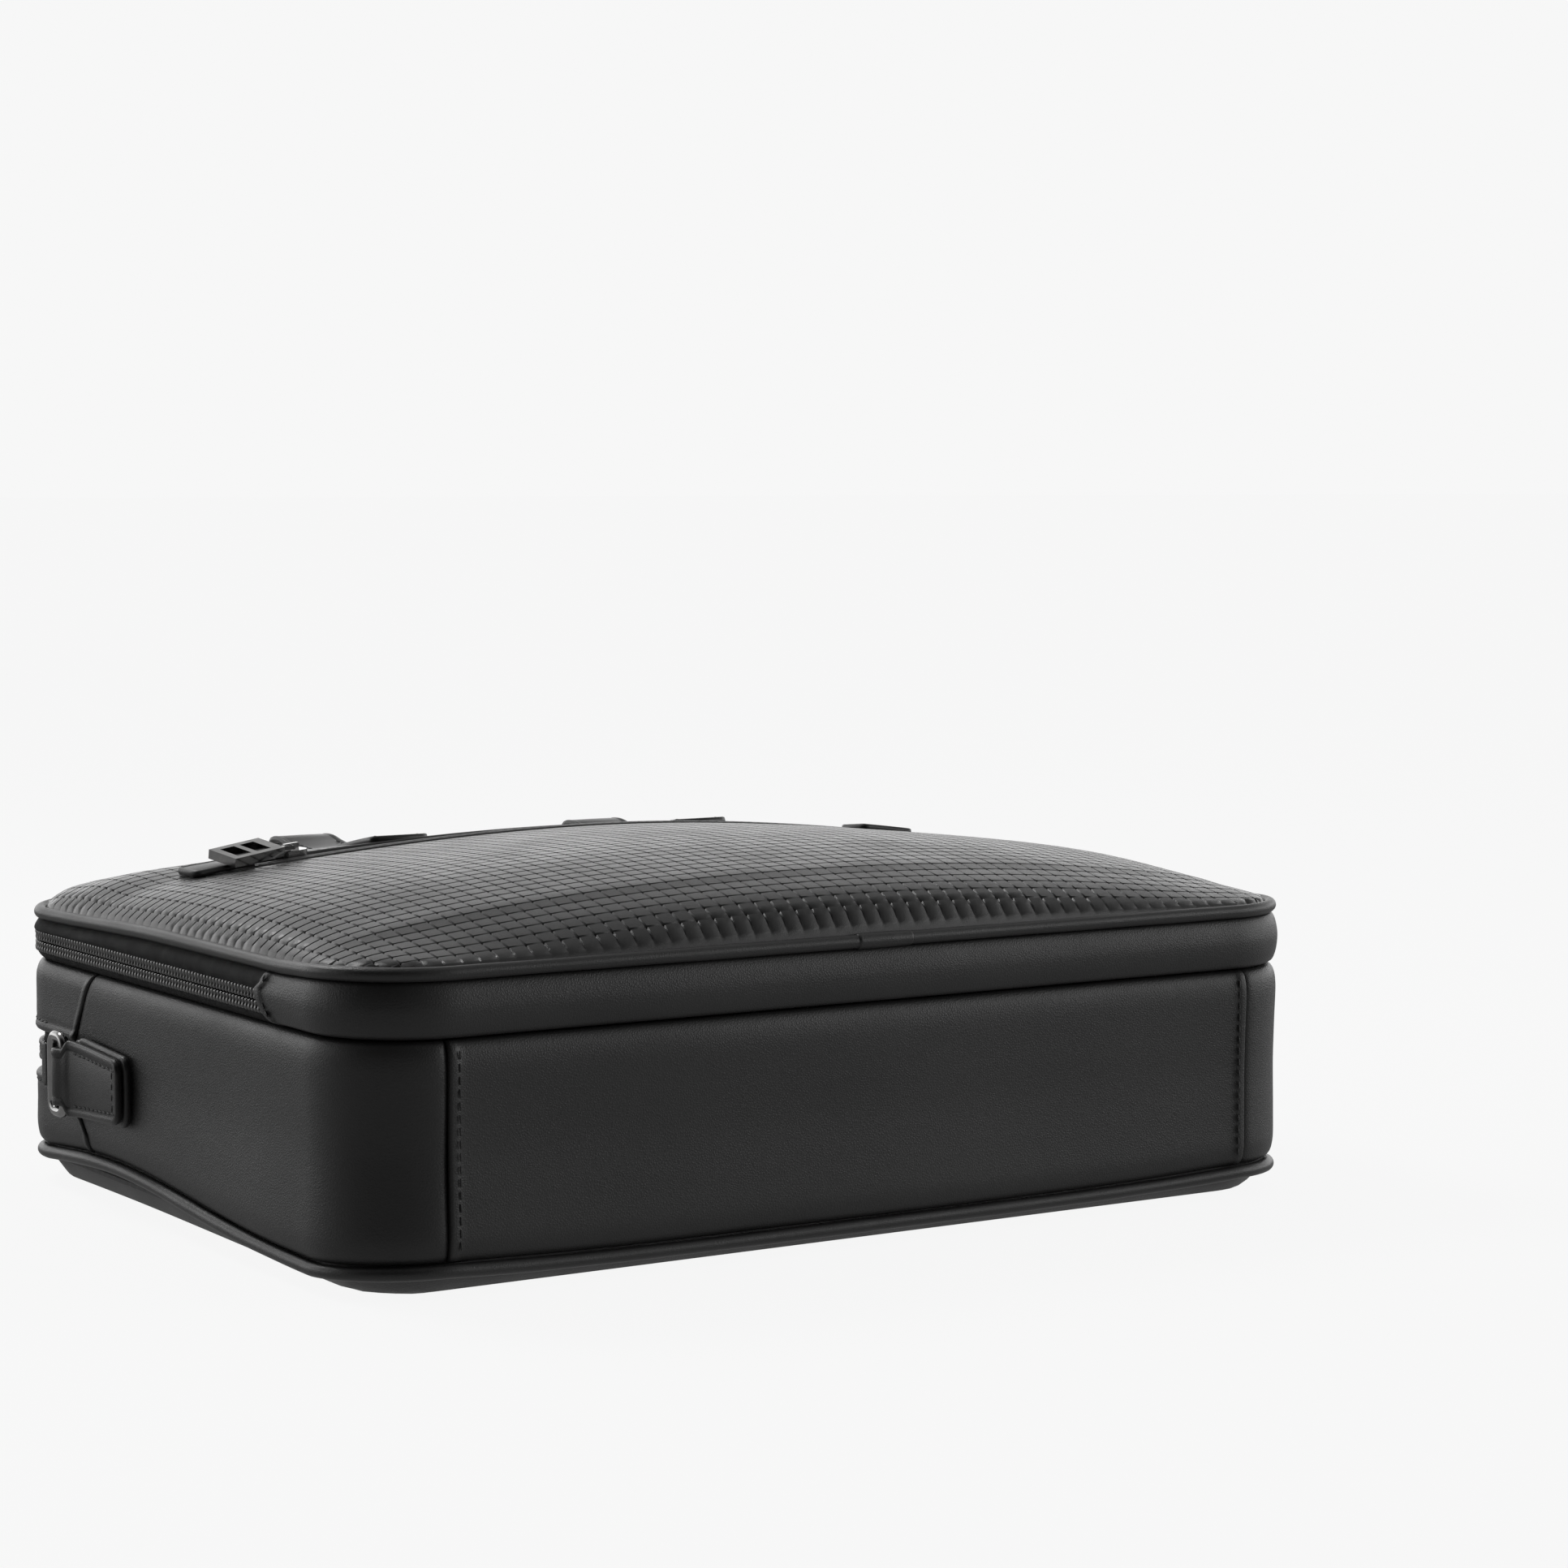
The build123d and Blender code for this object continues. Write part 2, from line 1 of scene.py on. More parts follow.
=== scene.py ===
"""The looks of the leather briefcase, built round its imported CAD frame.

Shapes are worked out in millimetres and turned into metres when a mesh is made. Soft edges, folds,
seams and stitches are geometry; grain, weave and wear are procedural materials.
"""

import json
import math

import bmesh
import bpy
import numpy as np
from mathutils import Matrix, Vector


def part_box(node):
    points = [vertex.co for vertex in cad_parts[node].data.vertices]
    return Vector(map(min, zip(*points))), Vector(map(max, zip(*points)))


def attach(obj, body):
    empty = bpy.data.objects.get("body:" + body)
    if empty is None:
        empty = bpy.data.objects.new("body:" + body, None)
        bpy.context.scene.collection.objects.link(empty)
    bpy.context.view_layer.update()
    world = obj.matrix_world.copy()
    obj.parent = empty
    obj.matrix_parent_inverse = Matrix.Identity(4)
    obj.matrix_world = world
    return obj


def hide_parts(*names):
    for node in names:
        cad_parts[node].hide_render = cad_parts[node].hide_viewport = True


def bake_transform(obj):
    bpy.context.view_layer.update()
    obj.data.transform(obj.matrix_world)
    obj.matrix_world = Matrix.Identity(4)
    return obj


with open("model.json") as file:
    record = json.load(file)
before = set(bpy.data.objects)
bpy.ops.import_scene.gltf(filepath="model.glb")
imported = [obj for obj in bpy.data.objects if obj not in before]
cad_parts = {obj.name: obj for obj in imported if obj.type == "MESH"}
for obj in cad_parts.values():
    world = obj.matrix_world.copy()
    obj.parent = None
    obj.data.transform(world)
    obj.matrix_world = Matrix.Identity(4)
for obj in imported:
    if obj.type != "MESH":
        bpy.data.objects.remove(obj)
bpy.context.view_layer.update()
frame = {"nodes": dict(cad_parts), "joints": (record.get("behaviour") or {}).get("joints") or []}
joints = {joint["name"]: joint for joint in frame["joints"]}
rng = np.random.default_rng(7)

MM = 0.001
X, Y, Z = 0, 1, 2


# ---- sizes, read from the CAD frame -------------------------------------------------------------
def span(node, axis):
    """Lowest and highest coordinate of a CAD node, in millimetres."""
    low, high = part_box(node)
    return low[axis] / MM, high[axis] / MM


def middle(node, axis):
    return sum(span(node, axis)) / 2


def joint_place(name):
    return np.array(joints[name]["pos_m"]) / MM


HALF_X = span("back_piping", X)[1]
HALF_Y = span("back_piping", Y)[1]
CORNER_R = 38.0
BAND_LOW, BAND_TOP = span("front_band", Z)
BACK_PIPING_Z = middle("back_piping", Z)
FRONT_PIPING_Z = middle("front_piping_lower", Z)
PIPING_R = (span("back_piping", Z)[1] - span("back_piping", Z)[0]) / 2
BASE_SEAM_X = span("base_panel", X)[1]
TOP_SEAM_Y = span("side_wall_left", Y)[1]
LIP_LOW = span("mouth_flap", Z)[1]
LIP_HIGH = span("top_strip_front", Z)[0]
MAIN_ZIP_Z = (LIP_LOW + LIP_HIGH) / 2
FRONT_ZIP_Z = (span("front_zip_teeth_lower", Z)[1] + span("front_zip_teeth_upper", Z)[0]) / 2
MAIN_ZIP_END_Y = span("main_zip_teeth_front", Y)[0]
FRONT_ZIP_END_Y = span("front_band", Y)[1]
FLAP_X = span("mouth_flap", X)[1]
POCKET_Y = middle("pocket_zip_teeth", Y)
POCKET_HALF = span("pocket_zip_teeth", X)[1]

GAP = 0.3
SKIN = 1.5
STITCH_PITCH = 4.0
TOOTH_PITCH = 2.54
TOOTH_REACH = 3.88
ZIP_HALF = 4.0
UP = (0, 0, 1)


# ---- curves and solids --------------------------------------------------------------------------
def smoothstep(value, low, high):
    t = np.clip((np.asarray(value, float) - low) / (high - low), 0, 1)
    return t * t * (3 - 2 * t)


def bell(value, centre, width):
    return np.exp(-(((np.asarray(value, float) - centre) / width) ** 2))


def resample(line, count, closed=False):
    """The same line with evenly spaced points."""
    line = np.asarray(line, float)
    if closed:
        line = np.vstack([line, line[:1]])
    run = np.concatenate([[0], np.cumsum(np.linalg.norm(np.diff(line, axis=0), axis=1))])
    places = np.linspace(0, run[-1], count, endpoint=not closed)
    return np.stack([np.interp(places, run, line[:, k]) for k in range(line.shape[1])], -1)


def smooth_curve(points, count):
    """Evenly spaced points on a smooth curve through the given ones."""
    points = np.asarray(points, float)
    points = np.vstack([2 * points[0] - points[1], points, 2 * points[-1] - points[-2]])
    t = np.linspace(0, 1, 16, endpoint=False)[:, None]
    dense = []
    for before, a, b, after in zip(points, points[1:], points[2:], points[3:]):
        bend = (2 * before - 5 * a + 4 * b - after) * t**2 + (3 * a - before - 3 * b + after) * t**3
        dense.append(a + ((b - before) * t + bend) / 2)
    dense.append(points[-2:-1])
    return resample(np.vstack(dense), count)


def rounded_rectangle(width, height, radius, corner_points=6):
    """A closed outline, counterclockwise from the right."""
    points = []
    for quarter, (side_x, side_y) in enumerate(((1, 1), (-1, 1), (-1, -1), (1, -1))):
        centre = (side_x * (width / 2 - radius), side_y * (height / 2 - radius))
        for angle in np.linspace(quarter, quarter + 1, corner_points) * math.pi / 2:
            points.append((centre[0] + radius * math.cos(angle), centre[1] + radius * math.sin(angle)))
    return np.array(points)


def loft(rings, closed_path=False):
    """A solid skinned over equal rings of points."""
    rings = np.asarray(rings, float)
    count, size = rings.shape[:2]
    row = np.arange(count if closed_path else count - 1)[:, None] * size
    next_row = (row + size) % (count * size)
    column = np.arange(size)[None, :]
    next_column = (column + 1) % size
    quads = np.stack([row + column, row + next_column, next_row + next_column, next_row + column], -1)
    faces = quads.reshape(-1, 4).tolist()
    if not closed_path:
        faces.append(list(range(size))[::-1])
        faces.append(list(range((count - 1) * size, count * size)))
    return rings.reshape(-1, 3), faces


def merge(solids):
    """Several solids as one."""
    verts, faces, start = [], [], 0
    for points, polygons in solids:
        verts.append(points)
        faces.extend([[v + start for v in polygon] for polygon in polygons])
        start += len(points)
    return np.vstack(verts), faces


def along(path, closed=False):
    """Unit tangents of a path."""
    if closed:
        step = np.roll(path, -1, axis=0) - np.roll(path, 1, axis=0)
    else:
        step = np.gradient(path, axis=0)
    return step / np.linalg.norm(step, axis=1, keepdims=True)


def tube(path, radius, up, sides, closed=False):
    """A round bar along a path. Up is a direction that the path never follows."""
    path = np.asarray(path, float)
    tangent = along(path, closed)
    side = np.cross(np.broadcast_to(up, path.shape), tangent)
    side /= np.linalg.norm(side, axis=1, keepdims=True)
    over = np.cross(tangent, side)
    radii = np.broadcast_to(radius, len(path))[:, None, None]
    angle = np.linspace(0, 2 * math.pi, sides, endpoint=False)[None, :, None]
    rings = path[:, None] + radii * (side[:, None] * np.cos(angle) + over[:, None] * np.sin(angle))
    if not closed:
        rings = rounded_ends(rings, path, float(np.min(radii)) * 0.5)
    return loft(rings, closed)


def rounded_ends(rings, path, reach):
    """The rings with a few smaller ones added past both ends."""
    start, end = [], []
    both = ((start, rings[0], path[0], path[1]), (end, rings[-1], path[-1], path[-2]))
    for share in (0.35, 0.65, 0.87, 0.98):
        shrink = math.sqrt(1 - share**2)
        for stack, ring, centre, before in both:
            out = (centre - before) / np.linalg.norm(centre - before)
            stack.append(centre + (ring - centre) * shrink + out * reach * share)
    return np.concatenate([np.array(start[::-1]), rings, np.array(end)])


CREASE_SINK = 0.35


def strap_section(width, thickness, crease, sink):
    """Section of a leather strap: rounded painted edges and a creased line near each edge on top."""
    half, rise = width / 2, thickness / 2
    edge = min(rise, 1.1)
    top = [(half - edge, rise)]
    if crease:
        line = half - crease
        top += [(line + 0.8, rise), (line, rise - sink), (line - 0.8, rise - sink * 0.35)]
        top += [(0, rise - sink * 0.2)]
        top += [(-x, z) for x, z in reversed(top)][1:]
    else:
        top += [(0, rise), (-half + edge, rise)]
    corner = edge / 4
    left = [(-half + corner, rise - corner), (-half, 0), (-half + corner, -rise + corner)]
    bottom = [(-half + edge, -rise), (0, -rise), (half - edge, -rise)]
    right = [(-x, z) for x, z in reversed(left)]
    return np.array(top + left + bottom + right)


def ribbon(path, normals, width, thickness, crease, corner):
    """A strap along a path, lying on the given normals, with rounded corners in plan."""
    path, normals = np.asarray(path, float), np.asarray(normals, float)
    tangent = along(path)
    side = np.cross(normals, tangent)
    side /= np.linalg.norm(side, axis=1, keepdims=True)
    run = np.concatenate([[0], np.cumsum(np.linalg.norm(np.diff(path, axis=0), axis=1))])
    widths = np.broadcast_to(width, len(path))
    rings = []
    reaches = np.minimum(run, run[-1] - run)
    for place, normal, across, reach, full in zip(path, normals, side, reaches, widths):
        lost = corner - math.sqrt(max(corner**2 - max(corner - reach, 0) ** 2, 0))
        flat = thickness * (0.72 + 0.28 * float(smoothstep(reach, 0, 0.9)))
        section = strap_section(full - 2 * lost, flat, crease, CREASE_SINK if reach > crease else 0.0)
        rings.append(place + section[:, :1] * across + section[:, 1:] * normal)
    return loft(np.array(rings))


def dense_ends(length, step):
    """Places from 0 to 1 along a length, close together near both ends."""
    near = np.array([0.0, 0.25, 0.6, 1.0, 1.5, 2.2, 3.0, 3.8, 4.6, 5.6, 7.0])
    inner = np.linspace(near[-1], length - near[-1], max(3, int((length - 2 * near[-1]) / step)))
    return np.concatenate([near, inner[1:-1], length - near[::-1]]) / length


# ---- making pieces ------------------------------------------------------------------------------
BENDING = "bending"
SHEET_SHARP = 40


def linked(name, data, material=None):
    """A new object in the scene."""
    if material:
        data.materials.append(material)
    made = bpy.data.objects.new(name, data)
    bpy.context.scene.collection.objects.link(made)
    return made


def make(name, solid, material, body, replaces=(), sharp=None, open_sheet=False):
    """A piece that stands for some CAD nodes. It rides on a body, or, if body is BENDING, is left unattached
    with its place baked into the mesh.

    The faces of a closed solid are turned outward. An open sheet keeps the directions it was given.
    """
    mesh = bpy.data.meshes.new(name)
    mesh.from_pydata((solid[0] * MM).tolist(), [], solid[1])
    if not open_sheet:
        cleaner = bmesh.new()
        cleaner.from_mesh(mesh)
        bmesh.ops.recalc_face_normals(cleaner, faces=cleaner.faces)
        cleaner.to_mesh(mesh)
        cleaner.free()
    mesh.shade_smooth()
    if open_sheet or sharp:
        mesh.set_sharp_from_angle(angle=math.radians(sharp or SHEET_SHARP))
    made = linked(name, mesh, material)
    if body == BENDING:
        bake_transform(made)
    else:
        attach(made, body)
    if replaces:
        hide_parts(*replaces)
    return made


def spindle(sections, sides, square=1.0):
    """A small closed solid along its first axis.

    Sections are (place, half width, half height, centre height).
    """
    angle = np.linspace(0, 2 * math.pi, sides, endpoint=False) + math.pi / sides
    wide = np.sign(np.cos(angle)) * np.abs(np.cos(angle)) ** square
    high = np.sign(np.sin(angle)) * np.abs(np.sin(angle)) ** square
    rings = []
    for place, half_width, half_height, centre in sections:
        ring = [np.full(sides, place), wide * half_width, centre + high * half_height]
        rings.append(np.stack(ring, -1))
    return loft(np.array(rings))


def scatter(template, places, first, second, third):
    """Copies of a small solid, each turned to its own three directions."""
    points, polygons = template
    moved = (
        places[:, None]
        + points[None, :, 0:1] * first[:, None]
        + points[None, :, 1:2] * second[:, None]
        + points[None, :, 2:3] * third[:, None]
    )
    count = len(points)
    faces = [[v + i * count for v in polygon] for i in range(len(places)) for polygon in polygons]
    return moved.reshape(-1, 3), faces


STITCH_TIP, STITCH_SIDE = (0.12, 0.1, -0.2), (0.34, 0.28, 0.0)
STITCH = spindle([
    (-1.45, *STITCH_TIP), (-1.1, *STITCH_SIDE), (0, 0.4, 0.34, 0.06), (1.1, *STITCH_SIDE), (1.45, *STITCH_TIP)
], 6)


def stitch_row(path, normals, pitch=STITCH_PITCH):
    """A row of thread stitches along a line on a surface."""
    path, normals = np.asarray(path, float), np.asarray(normals, float)
    length = np.linalg.norm(np.diff(path, axis=0), axis=1).sum()
    count = max(3, int(length / pitch))
    both = resample(np.hstack([path, normals]), 2 * count + 1)[1::2]
    places, up = both[:, :3], both[:, 3:]
    up = up / np.linalg.norm(up, axis=1, keepdims=True)
    tangent = along(places)
    slant = tangent + np.cross(up, tangent) * rng.normal(0.1, 0.03, (count, 1))
    slant /= np.linalg.norm(slant, axis=1, keepdims=True)
    return scatter(STITCH, places, slant, np.cross(up, slant), up)


# ---- the outline of the case --------------------------------------------------------------------
CENTRE_X, CENTRE_Y = HALF_X - CORNER_R, HALF_Y - CORNER_R
QUARTER = CORNER_R * math.pi / 2
LEGS = [CENTRE_X, QUARTER, 2 * CENTRE_Y, QUARTER, 2 * CENTRE_X, QUARTER, 2 * CENTRE_Y, QUARTER, CENTRE_X]
KNOTS = np.concatenate([[0], np.cumsum(LEGS)])
PERIMETER = KNOTS[-1]
KNOT_ANGLES = np.radians([-90, -90, 0, 0, 90, 90, 180, 180, 270, 270])
KNOT_X = np.array([0, 1, 1, 1, 1, -1, -1, -1, -1, 0]) * CENTRE_X
KNOT_Y = np.array([-1, -1, -1, 1, 1, 1, 1, -1, -1, -1]) * CENTRE_Y


def outline(run, offset=0.0):
    """Points of the plan outline at a run from the middle of the base, and outward normals."""
    run = np.mod(run, PERIMETER)
    angle = np.interp(run, KNOTS, KNOT_ANGLES)
    normal = np.stack([np.cos(angle), np.sin(angle)], -1)
    centre = np.stack([np.interp(run, KNOTS, KNOT_X), np.interp(run, KNOTS, KNOT_Y)], -1)
    return centre + normal * (CORNER_R + np.asarray(offset))[..., None], normal


def base_run(x):
    """Run to a place near the ends of the base, or straight below it."""
    if abs(x) <= CENTRE_X:
        return x
    return math.copysign(CENTRE_X + CORNER_R * math.asin((abs(x) - CENTRE_X) / CORNER_R), x)


def right_run(y):
    return CENTRE_X + QUARTER + CENTRE_Y + y


def top_run(x):
    return KNOTS[4] + CENTRE_X - x


def side_sag(y):
    return 8.4 * bell(y, 50, 88)


def sag(run):
    """How far the back edge of the case is drawn up off the ground, along the outline."""
    place, normal = outline(run)
    ends = np.abs(normal[..., 0]) * side_sag(place[..., 1])
    middle_rise = np.abs(normal[..., 1]) * 2.2 * np.clip(np.abs(place[..., 0]) / 165, 0, 1) ** 4
    return ends + middle_rise


def sagged(run, z):
    return z + sag(run) * (1 - smoothstep(z, 10, 62))


def on_wall(run, z, offset):
    """Points on the wall of the case, with outward normals."""
    run = np.asarray(run, float)
    z = np.broadcast_to(z, run.shape)
    place, normal = outline(run, np.broadcast_to(offset, run.shape))
    points = np.concatenate([place, sagged(run, z)[..., None]], -1)
    return points, np.concatenate([normal, np.zeros_like(run)[..., None]], -1)


def skin_profile(outer, spacing=1.3, thickness=SKIN):
    """A closed section of leather from the (offset, height) points of its outer face, going up."""
    length = np.linalg.norm(np.diff(np.array(outer), axis=0), axis=1).sum()
    curve = smooth_curve(outer, max(6, int(length / spacing)))
    tangent = along(curve)
    inner = curve + thickness * np.stack([-tangent[:, 1], tangent[:, 0]], -1)
    return np.vstack([curve, inner[::-1]])


def band(start, end, profile, shape=None, step=2.6, still=False):
    """A strip of the case wall: a closed section carried along the outline between two runs.

    Start and end may be functions of height. Shape adds to the offset, from the run, the height and
    the distances to both ends. A still strip doesn't follow the sag.
    """
    offset, z = profile[:, 0], profile[:, 1]
    first = start(z) if callable(start) else np.full(len(z), start)
    last = end(z) if callable(end) else np.full(len(z), end)
    share = dense_ends(float(np.mean(last - first)), step)[:, None]
    run = first + (last - first) * share
    height = np.broadcast_to(z, run.shape)
    moved = np.broadcast_to(offset, run.shape)
    if shape is not None:
        moved = moved + shape(run, height, run - first, last - run)
    place, _ = outline(run, moved)
    dip = front_dip(place[..., 0], place[..., 1]) * smoothstep(height, 93.5, 103)
    top = height - dip if still else sagged(run, height)
    return loft(np.concatenate([place, top[..., None]], -1))


def front_dip(x, y):
    """How far the seam round the front panel sinks along the sides, most of all at the top corners."""
    beside = smoothstep(np.abs(x), 100, 197) * smoothstep(y, -135, -85)
    return beside * (1.6 + 2.6 * smoothstep(y, 0, 125))


def swell(run, z):
    """Slow unevenness of soft leather."""
    slow = 0.22 * np.sin(run / 41 + z / 27) + 0.16 * np.sin(run / 17 - z / 33 + 1)
    return slow + 0.1 * np.sin(z / 9 + run / 61)


def tucked(distance, depth=1.5, reach=1.1):
    """Leather turning in at a seam."""
    return -depth * np.exp(-np.maximum(distance, 0) / reach)


def folded(distance):
    """A folded edge lying on its neighbour, with the dent of its stitch line."""
    edge = 0.75 * (1 - smoothstep(distance, 3.3, 5.5))
    rounding = -1.3 * np.clip(1 - distance / 0.9, 0, 1) ** 2
    return edge + rounding - 0.4 * bell(distance, 3.9, 0.7)


# ---- materials ----------------------------------------------------------------------------------
class Nodes:
    """A short way to write a node tree."""

    def __init__(self, owner):
        owner.use_nodes = True
        self.material = owner
        self.tree = owner.node_tree
        self.shader = self.tree.nodes.get("Principled BSDF")
        self.place = self.add("ShaderNodeTexCoord").outputs["Object"]

    def add(self, kind, inputs=(), **settings):
        node = self.tree.nodes.new(kind)
        for key, value in settings.items():
            setattr(node, key, value)
        for key, value in dict(inputs).items():
            self.set(node.inputs[key], value)
        return node

    def set(self, socket, value):
        if isinstance(value, bpy.types.NodeSocket):
            self.tree.links.new(value, socket)
        else:
            socket.default_value = value

    def noise(self, size, detail=3.0, rough=0.5):
        inputs = {"Vector": self.place, "Scale": 1 / (size * MM), "Detail": detail, "Roughness": rough}
        return self.add("ShaderNodeTexNoise", inputs).outputs["Fac"]

    def cells(self, size):
        inputs = {"Vector": self.place, "Scale": 1 / (size * MM)}
        return self.add("ShaderNodeTexVoronoi", inputs, feature="DISTANCE_TO_EDGE").outputs["Distance"]

    def math(self, operation, *values):
        node = self.add("ShaderNodeMath", operation=operation)
        for socket, value in zip(node.inputs, values):
            self.set(socket, value)
        return node.outputs[0]

    def ranged(self, value, low, high, to_low, to_high):
        inputs = {"Value": value, "From Min": low, "From Max": high, "To Min": to_low, "To Max": to_high}
        return self.add("ShaderNodeMapRange", inputs).outputs["Result"]

    def mix(self, share, first, second):
        node = self.add("ShaderNodeMix", data_type="RGBA")
        for socket, value in ((node.inputs[0], share), (node.inputs[6], first), (node.inputs[7], second)):
            self.set(socket, value)
        return node.outputs[2]

    def bump(self, height, depth):
        return self.add("ShaderNodeBump", {"Height": height, "Distance": depth * MM}).outputs["Normal"]

    def finish(self, colour, roughness, normal, **fixed):
        self.set(self.shader.inputs["Base Color"], colour)
        self.set(self.shader.inputs["Roughness"], roughness)
        if normal is not None:
            self.set(self.shader.inputs["Normal"], normal)
        for key, value in fixed.items():
            self.shader.inputs[key.replace("_", " ")].default_value = value
        return self.material


def grey(value, warmth=0.0):
    return (value * (1 + warmth), value, value * (1 - warmth), 1.0)


def leather(name, tone, roughness, grain, depth):
    """Grained leather: pebbles, fine pores, uneven dye, lighter rubbed edges and painted shade in hollows and
    grooves.
    """
    nodes = Nodes(bpy.data.materials.new(name))
    pebble = nodes.ranged(nodes.cells(grain), 0.0, 0.32, 0.0, 1.0)
    pores = nodes.noise(grain * 0.3, 2.0)
    wrinkles = nodes.noise(grain * 9, 4.0, 0.6)
    height = nodes.math("ADD", nodes.math("MULTIPLY", pebble, 0.7), nodes.math("MULTIPLY", pores, 0.6))
    height = nodes.math("ADD", height, nodes.math("MULTIPLY", wrinkles, 1.2))
    patches = nodes.noise(55, 3.0)
    pointed = nodes.add("ShaderNodeNewGeometry").outputs["Pointiness"]
    wear = nodes.ranged(pointed, 0.52, 0.62, 0.0, 1.0)
    # Painted shade mask: it falls towards 0 where the pointiness is low, in hollows and groove bottoms.
    outside_painted_hollow_shade = nodes.ranged(pointed, 0.45, 0.495, 0.0, 1.0)
    dyed = nodes.mix(nodes.ranged(patches, 0.3, 0.7, 0, 1), grey(tone * 0.85), grey(tone * 1.2, 0.01))
    colour = nodes.mix(nodes.math("MULTIPLY", wear, 0.6), dyed, grey(tone * 1.6, 0.01))
    # Painted shade: hollows and groove bottoms take a near-black colour, and a lower specular level below.
    colour = nodes.mix(outside_painted_hollow_shade, grey(tone * 0.15), colour)
    nodes.set(nodes.shader.inputs["Specular IOR Level"], nodes.ranged(outside_painted_hollow_shade, 0, 1, 0.05, 0.5))
    gloss = nodes.ranged(nodes.noise(28, 4.0), 0.3, 0.7, roughness * 0.92, roughness * 1.1)
    gloss = nodes.math("SUBTRACT", gloss, nodes.math("MULTIPLY", wear, 0.05))
    return nodes.finish(colour, gloss, nodes.bump(height, depth))


def fabric(name, tone, thread, depth, twill=True):
    """Woven cloth. Twill runs in slanting ribs, plain weave in crossed threads."""
    nodes = Nodes(bpy.data.materials.new(name))
    axes = nodes.add("ShaderNodeSeparateXYZ", {"Vector": nodes.place}).outputs
    flat = nodes.math("ADD", axes["X"], axes["Y"])
    turn = 2 * math.pi / (thread * MM)
    if twill:
        slant = nodes.math("ADD", flat, axes["Z"])
        weave = nodes.math("SINE", nodes.math("MULTIPLY", slant, turn))
        other = nodes.math("SUBTRACT", flat, axes["Z"])
        cross = nodes.math("SINE", nodes.math("MULTIPLY", other, turn * 2.3))
    else:
        weave = nodes.math("SINE", nodes.math("MULTIPLY", flat, turn))
        other = nodes.math("SUBTRACT", axes["Z"], axes["Y"])
        cross = nodes.math("SINE", nodes.math("MULTIPLY", other, turn))
    height = nodes.math("ADD", nodes.math("MULTIPLY", weave, 0.5), nodes.math("MULTIPLY", cross, 0.25))
    height = nodes.math("ADD", height, nodes.noise(thread * 0.5, 2.0))
    shade = nodes.ranged(weave, -1, 1, 0, 1)
    colour = nodes.mix(shade, grey(tone * 0.55), grey(tone * 1.25))
    gloss = nodes.ranged(nodes.noise(6), 0.3, 0.7, 0.68, 0.85)
    return nodes.finish(colour, gloss, nodes.bump(height, depth), Specular_IOR_Level=0.25)


def metal(name, tone, roughness):
    """Polished dark nickel with faint scratches and handling marks."""
    nodes = Nodes(bpy.data.materials.new(name))
    streaks = nodes.noise(0.5, 2.0)
    marks = nodes.noise(7, 5.0, 0.65)
    gloss = nodes.ranged(marks, 0.35, 0.75, roughness * 0.75, roughness * 1.7)
    colour = nodes.mix(nodes.ranged(marks, 0.3, 0.7, 0, 1), grey(tone * 0.9), grey(tone * 1.15, 0.015))
    return nodes.finish(colour, gloss, nodes.bump(streaks, 0.004), Metallic=1.0)


def thread_material():
    """Waxed black thread with its twist."""
    nodes = Nodes(bpy.data.materials.new("waxed_thread"))
    axes = nodes.add("ShaderNodeSeparateXYZ", {"Vector": nodes.place}).outputs
    total = nodes.math("ADD", nodes.math("ADD", axes["X"], axes["Y"]), axes["Z"])
    twist = nodes.math("SINE", nodes.math("MULTIPLY", total, 2 * math.pi / (0.45 * MM)))
    colour = nodes.mix(nodes.ranged(twist, -1, 1, 0, 1), grey(0.012), grey(0.035))
    return nodes.finish(colour, nodes.ranged(nodes.noise(2), 0.3, 0.7, 0.38, 0.55), nodes.bump(twist, 0.05))


def board_material():
    nodes = Nodes(bpy.data.materials.new("stiff_board"))
    colour = nodes.mix(nodes.noise(12, 4.0), grey(0.02), grey(0.035))
    gloss = nodes.ranged(nodes.noise(3), 0.3, 0.7, 0.5, 0.65)
    return nodes.finish(colour, gloss, nodes.bump(nodes.noise(0.6), 0.05))


LEATHER = leather("black_calf", 0.018, 0.42, 0.95, 0.07)
EMBOSSED = leather("embossed_calf", 0.022, 0.33, 0.6, 0.035)
PIPING = leather("piping_calf", 0.02, 0.4, 0.85, 0.06)
PAINTED = leather("strap_calf", 0.017, 0.38, 0.8, 0.05)
TAPE = fabric("zip_tape_cloth", 0.013, 0.75, 0.12)
LINING = fabric("lining_cloth", 0.035, 0.9, 0.08, twill=False)
FOAM = fabric("padded_cloth", 0.03, 1.3, 0.14, twill=False)
TEETH = metal("gunmetal_teeth", 0.13, 0.28)
NICKEL = metal("dark_nickel", 0.34, 0.13)
THREAD = thread_material()
BOARD = board_material()


# ---- leather walls of the case ------------------------------------------------------------------
LOW_EDGE = [(-6.5, 11.3), (-5.5, 10.0), (-4.2, 9.85), (-2.6, 10.6), (-1.3, 12.2), (-0.6, 14.5), (-0.15, 19)]
TOP_EDGE = [(-0.3, 78.5), (-0.9, 81.8), (-2.1, 84.1), (-3.8, 85), (-5.5, 84.9), (-6.8, 83.9)]
WALL = skin_profile(LOW_EDGE + [(-0.4, 30), (-0.8, 47), (-0.5, 62), (-0.15, 74)] + TOP_EDGE)
LIP = [(-4.4, 3.6), (-3.4, 1.2), (-1.9, 0.1), (-0.5, 0.5), (0.2, 1.9), (-0.1, 3.3), (-0.5, 4.4), (-0.3, 6.2)]
UPPER_STRIP = skin_profile([(o, LIP_HIGH + z) for o, z in LIP] + [(-0.3, 70)] + TOP_EDGE, 1.0)
LOWER_STRIP = skin_profile(LOW_EDGE + [(-0.3, 29)] + [(o, LIP_LOW - z) for o, z in reversed(LIP)], 1.0)

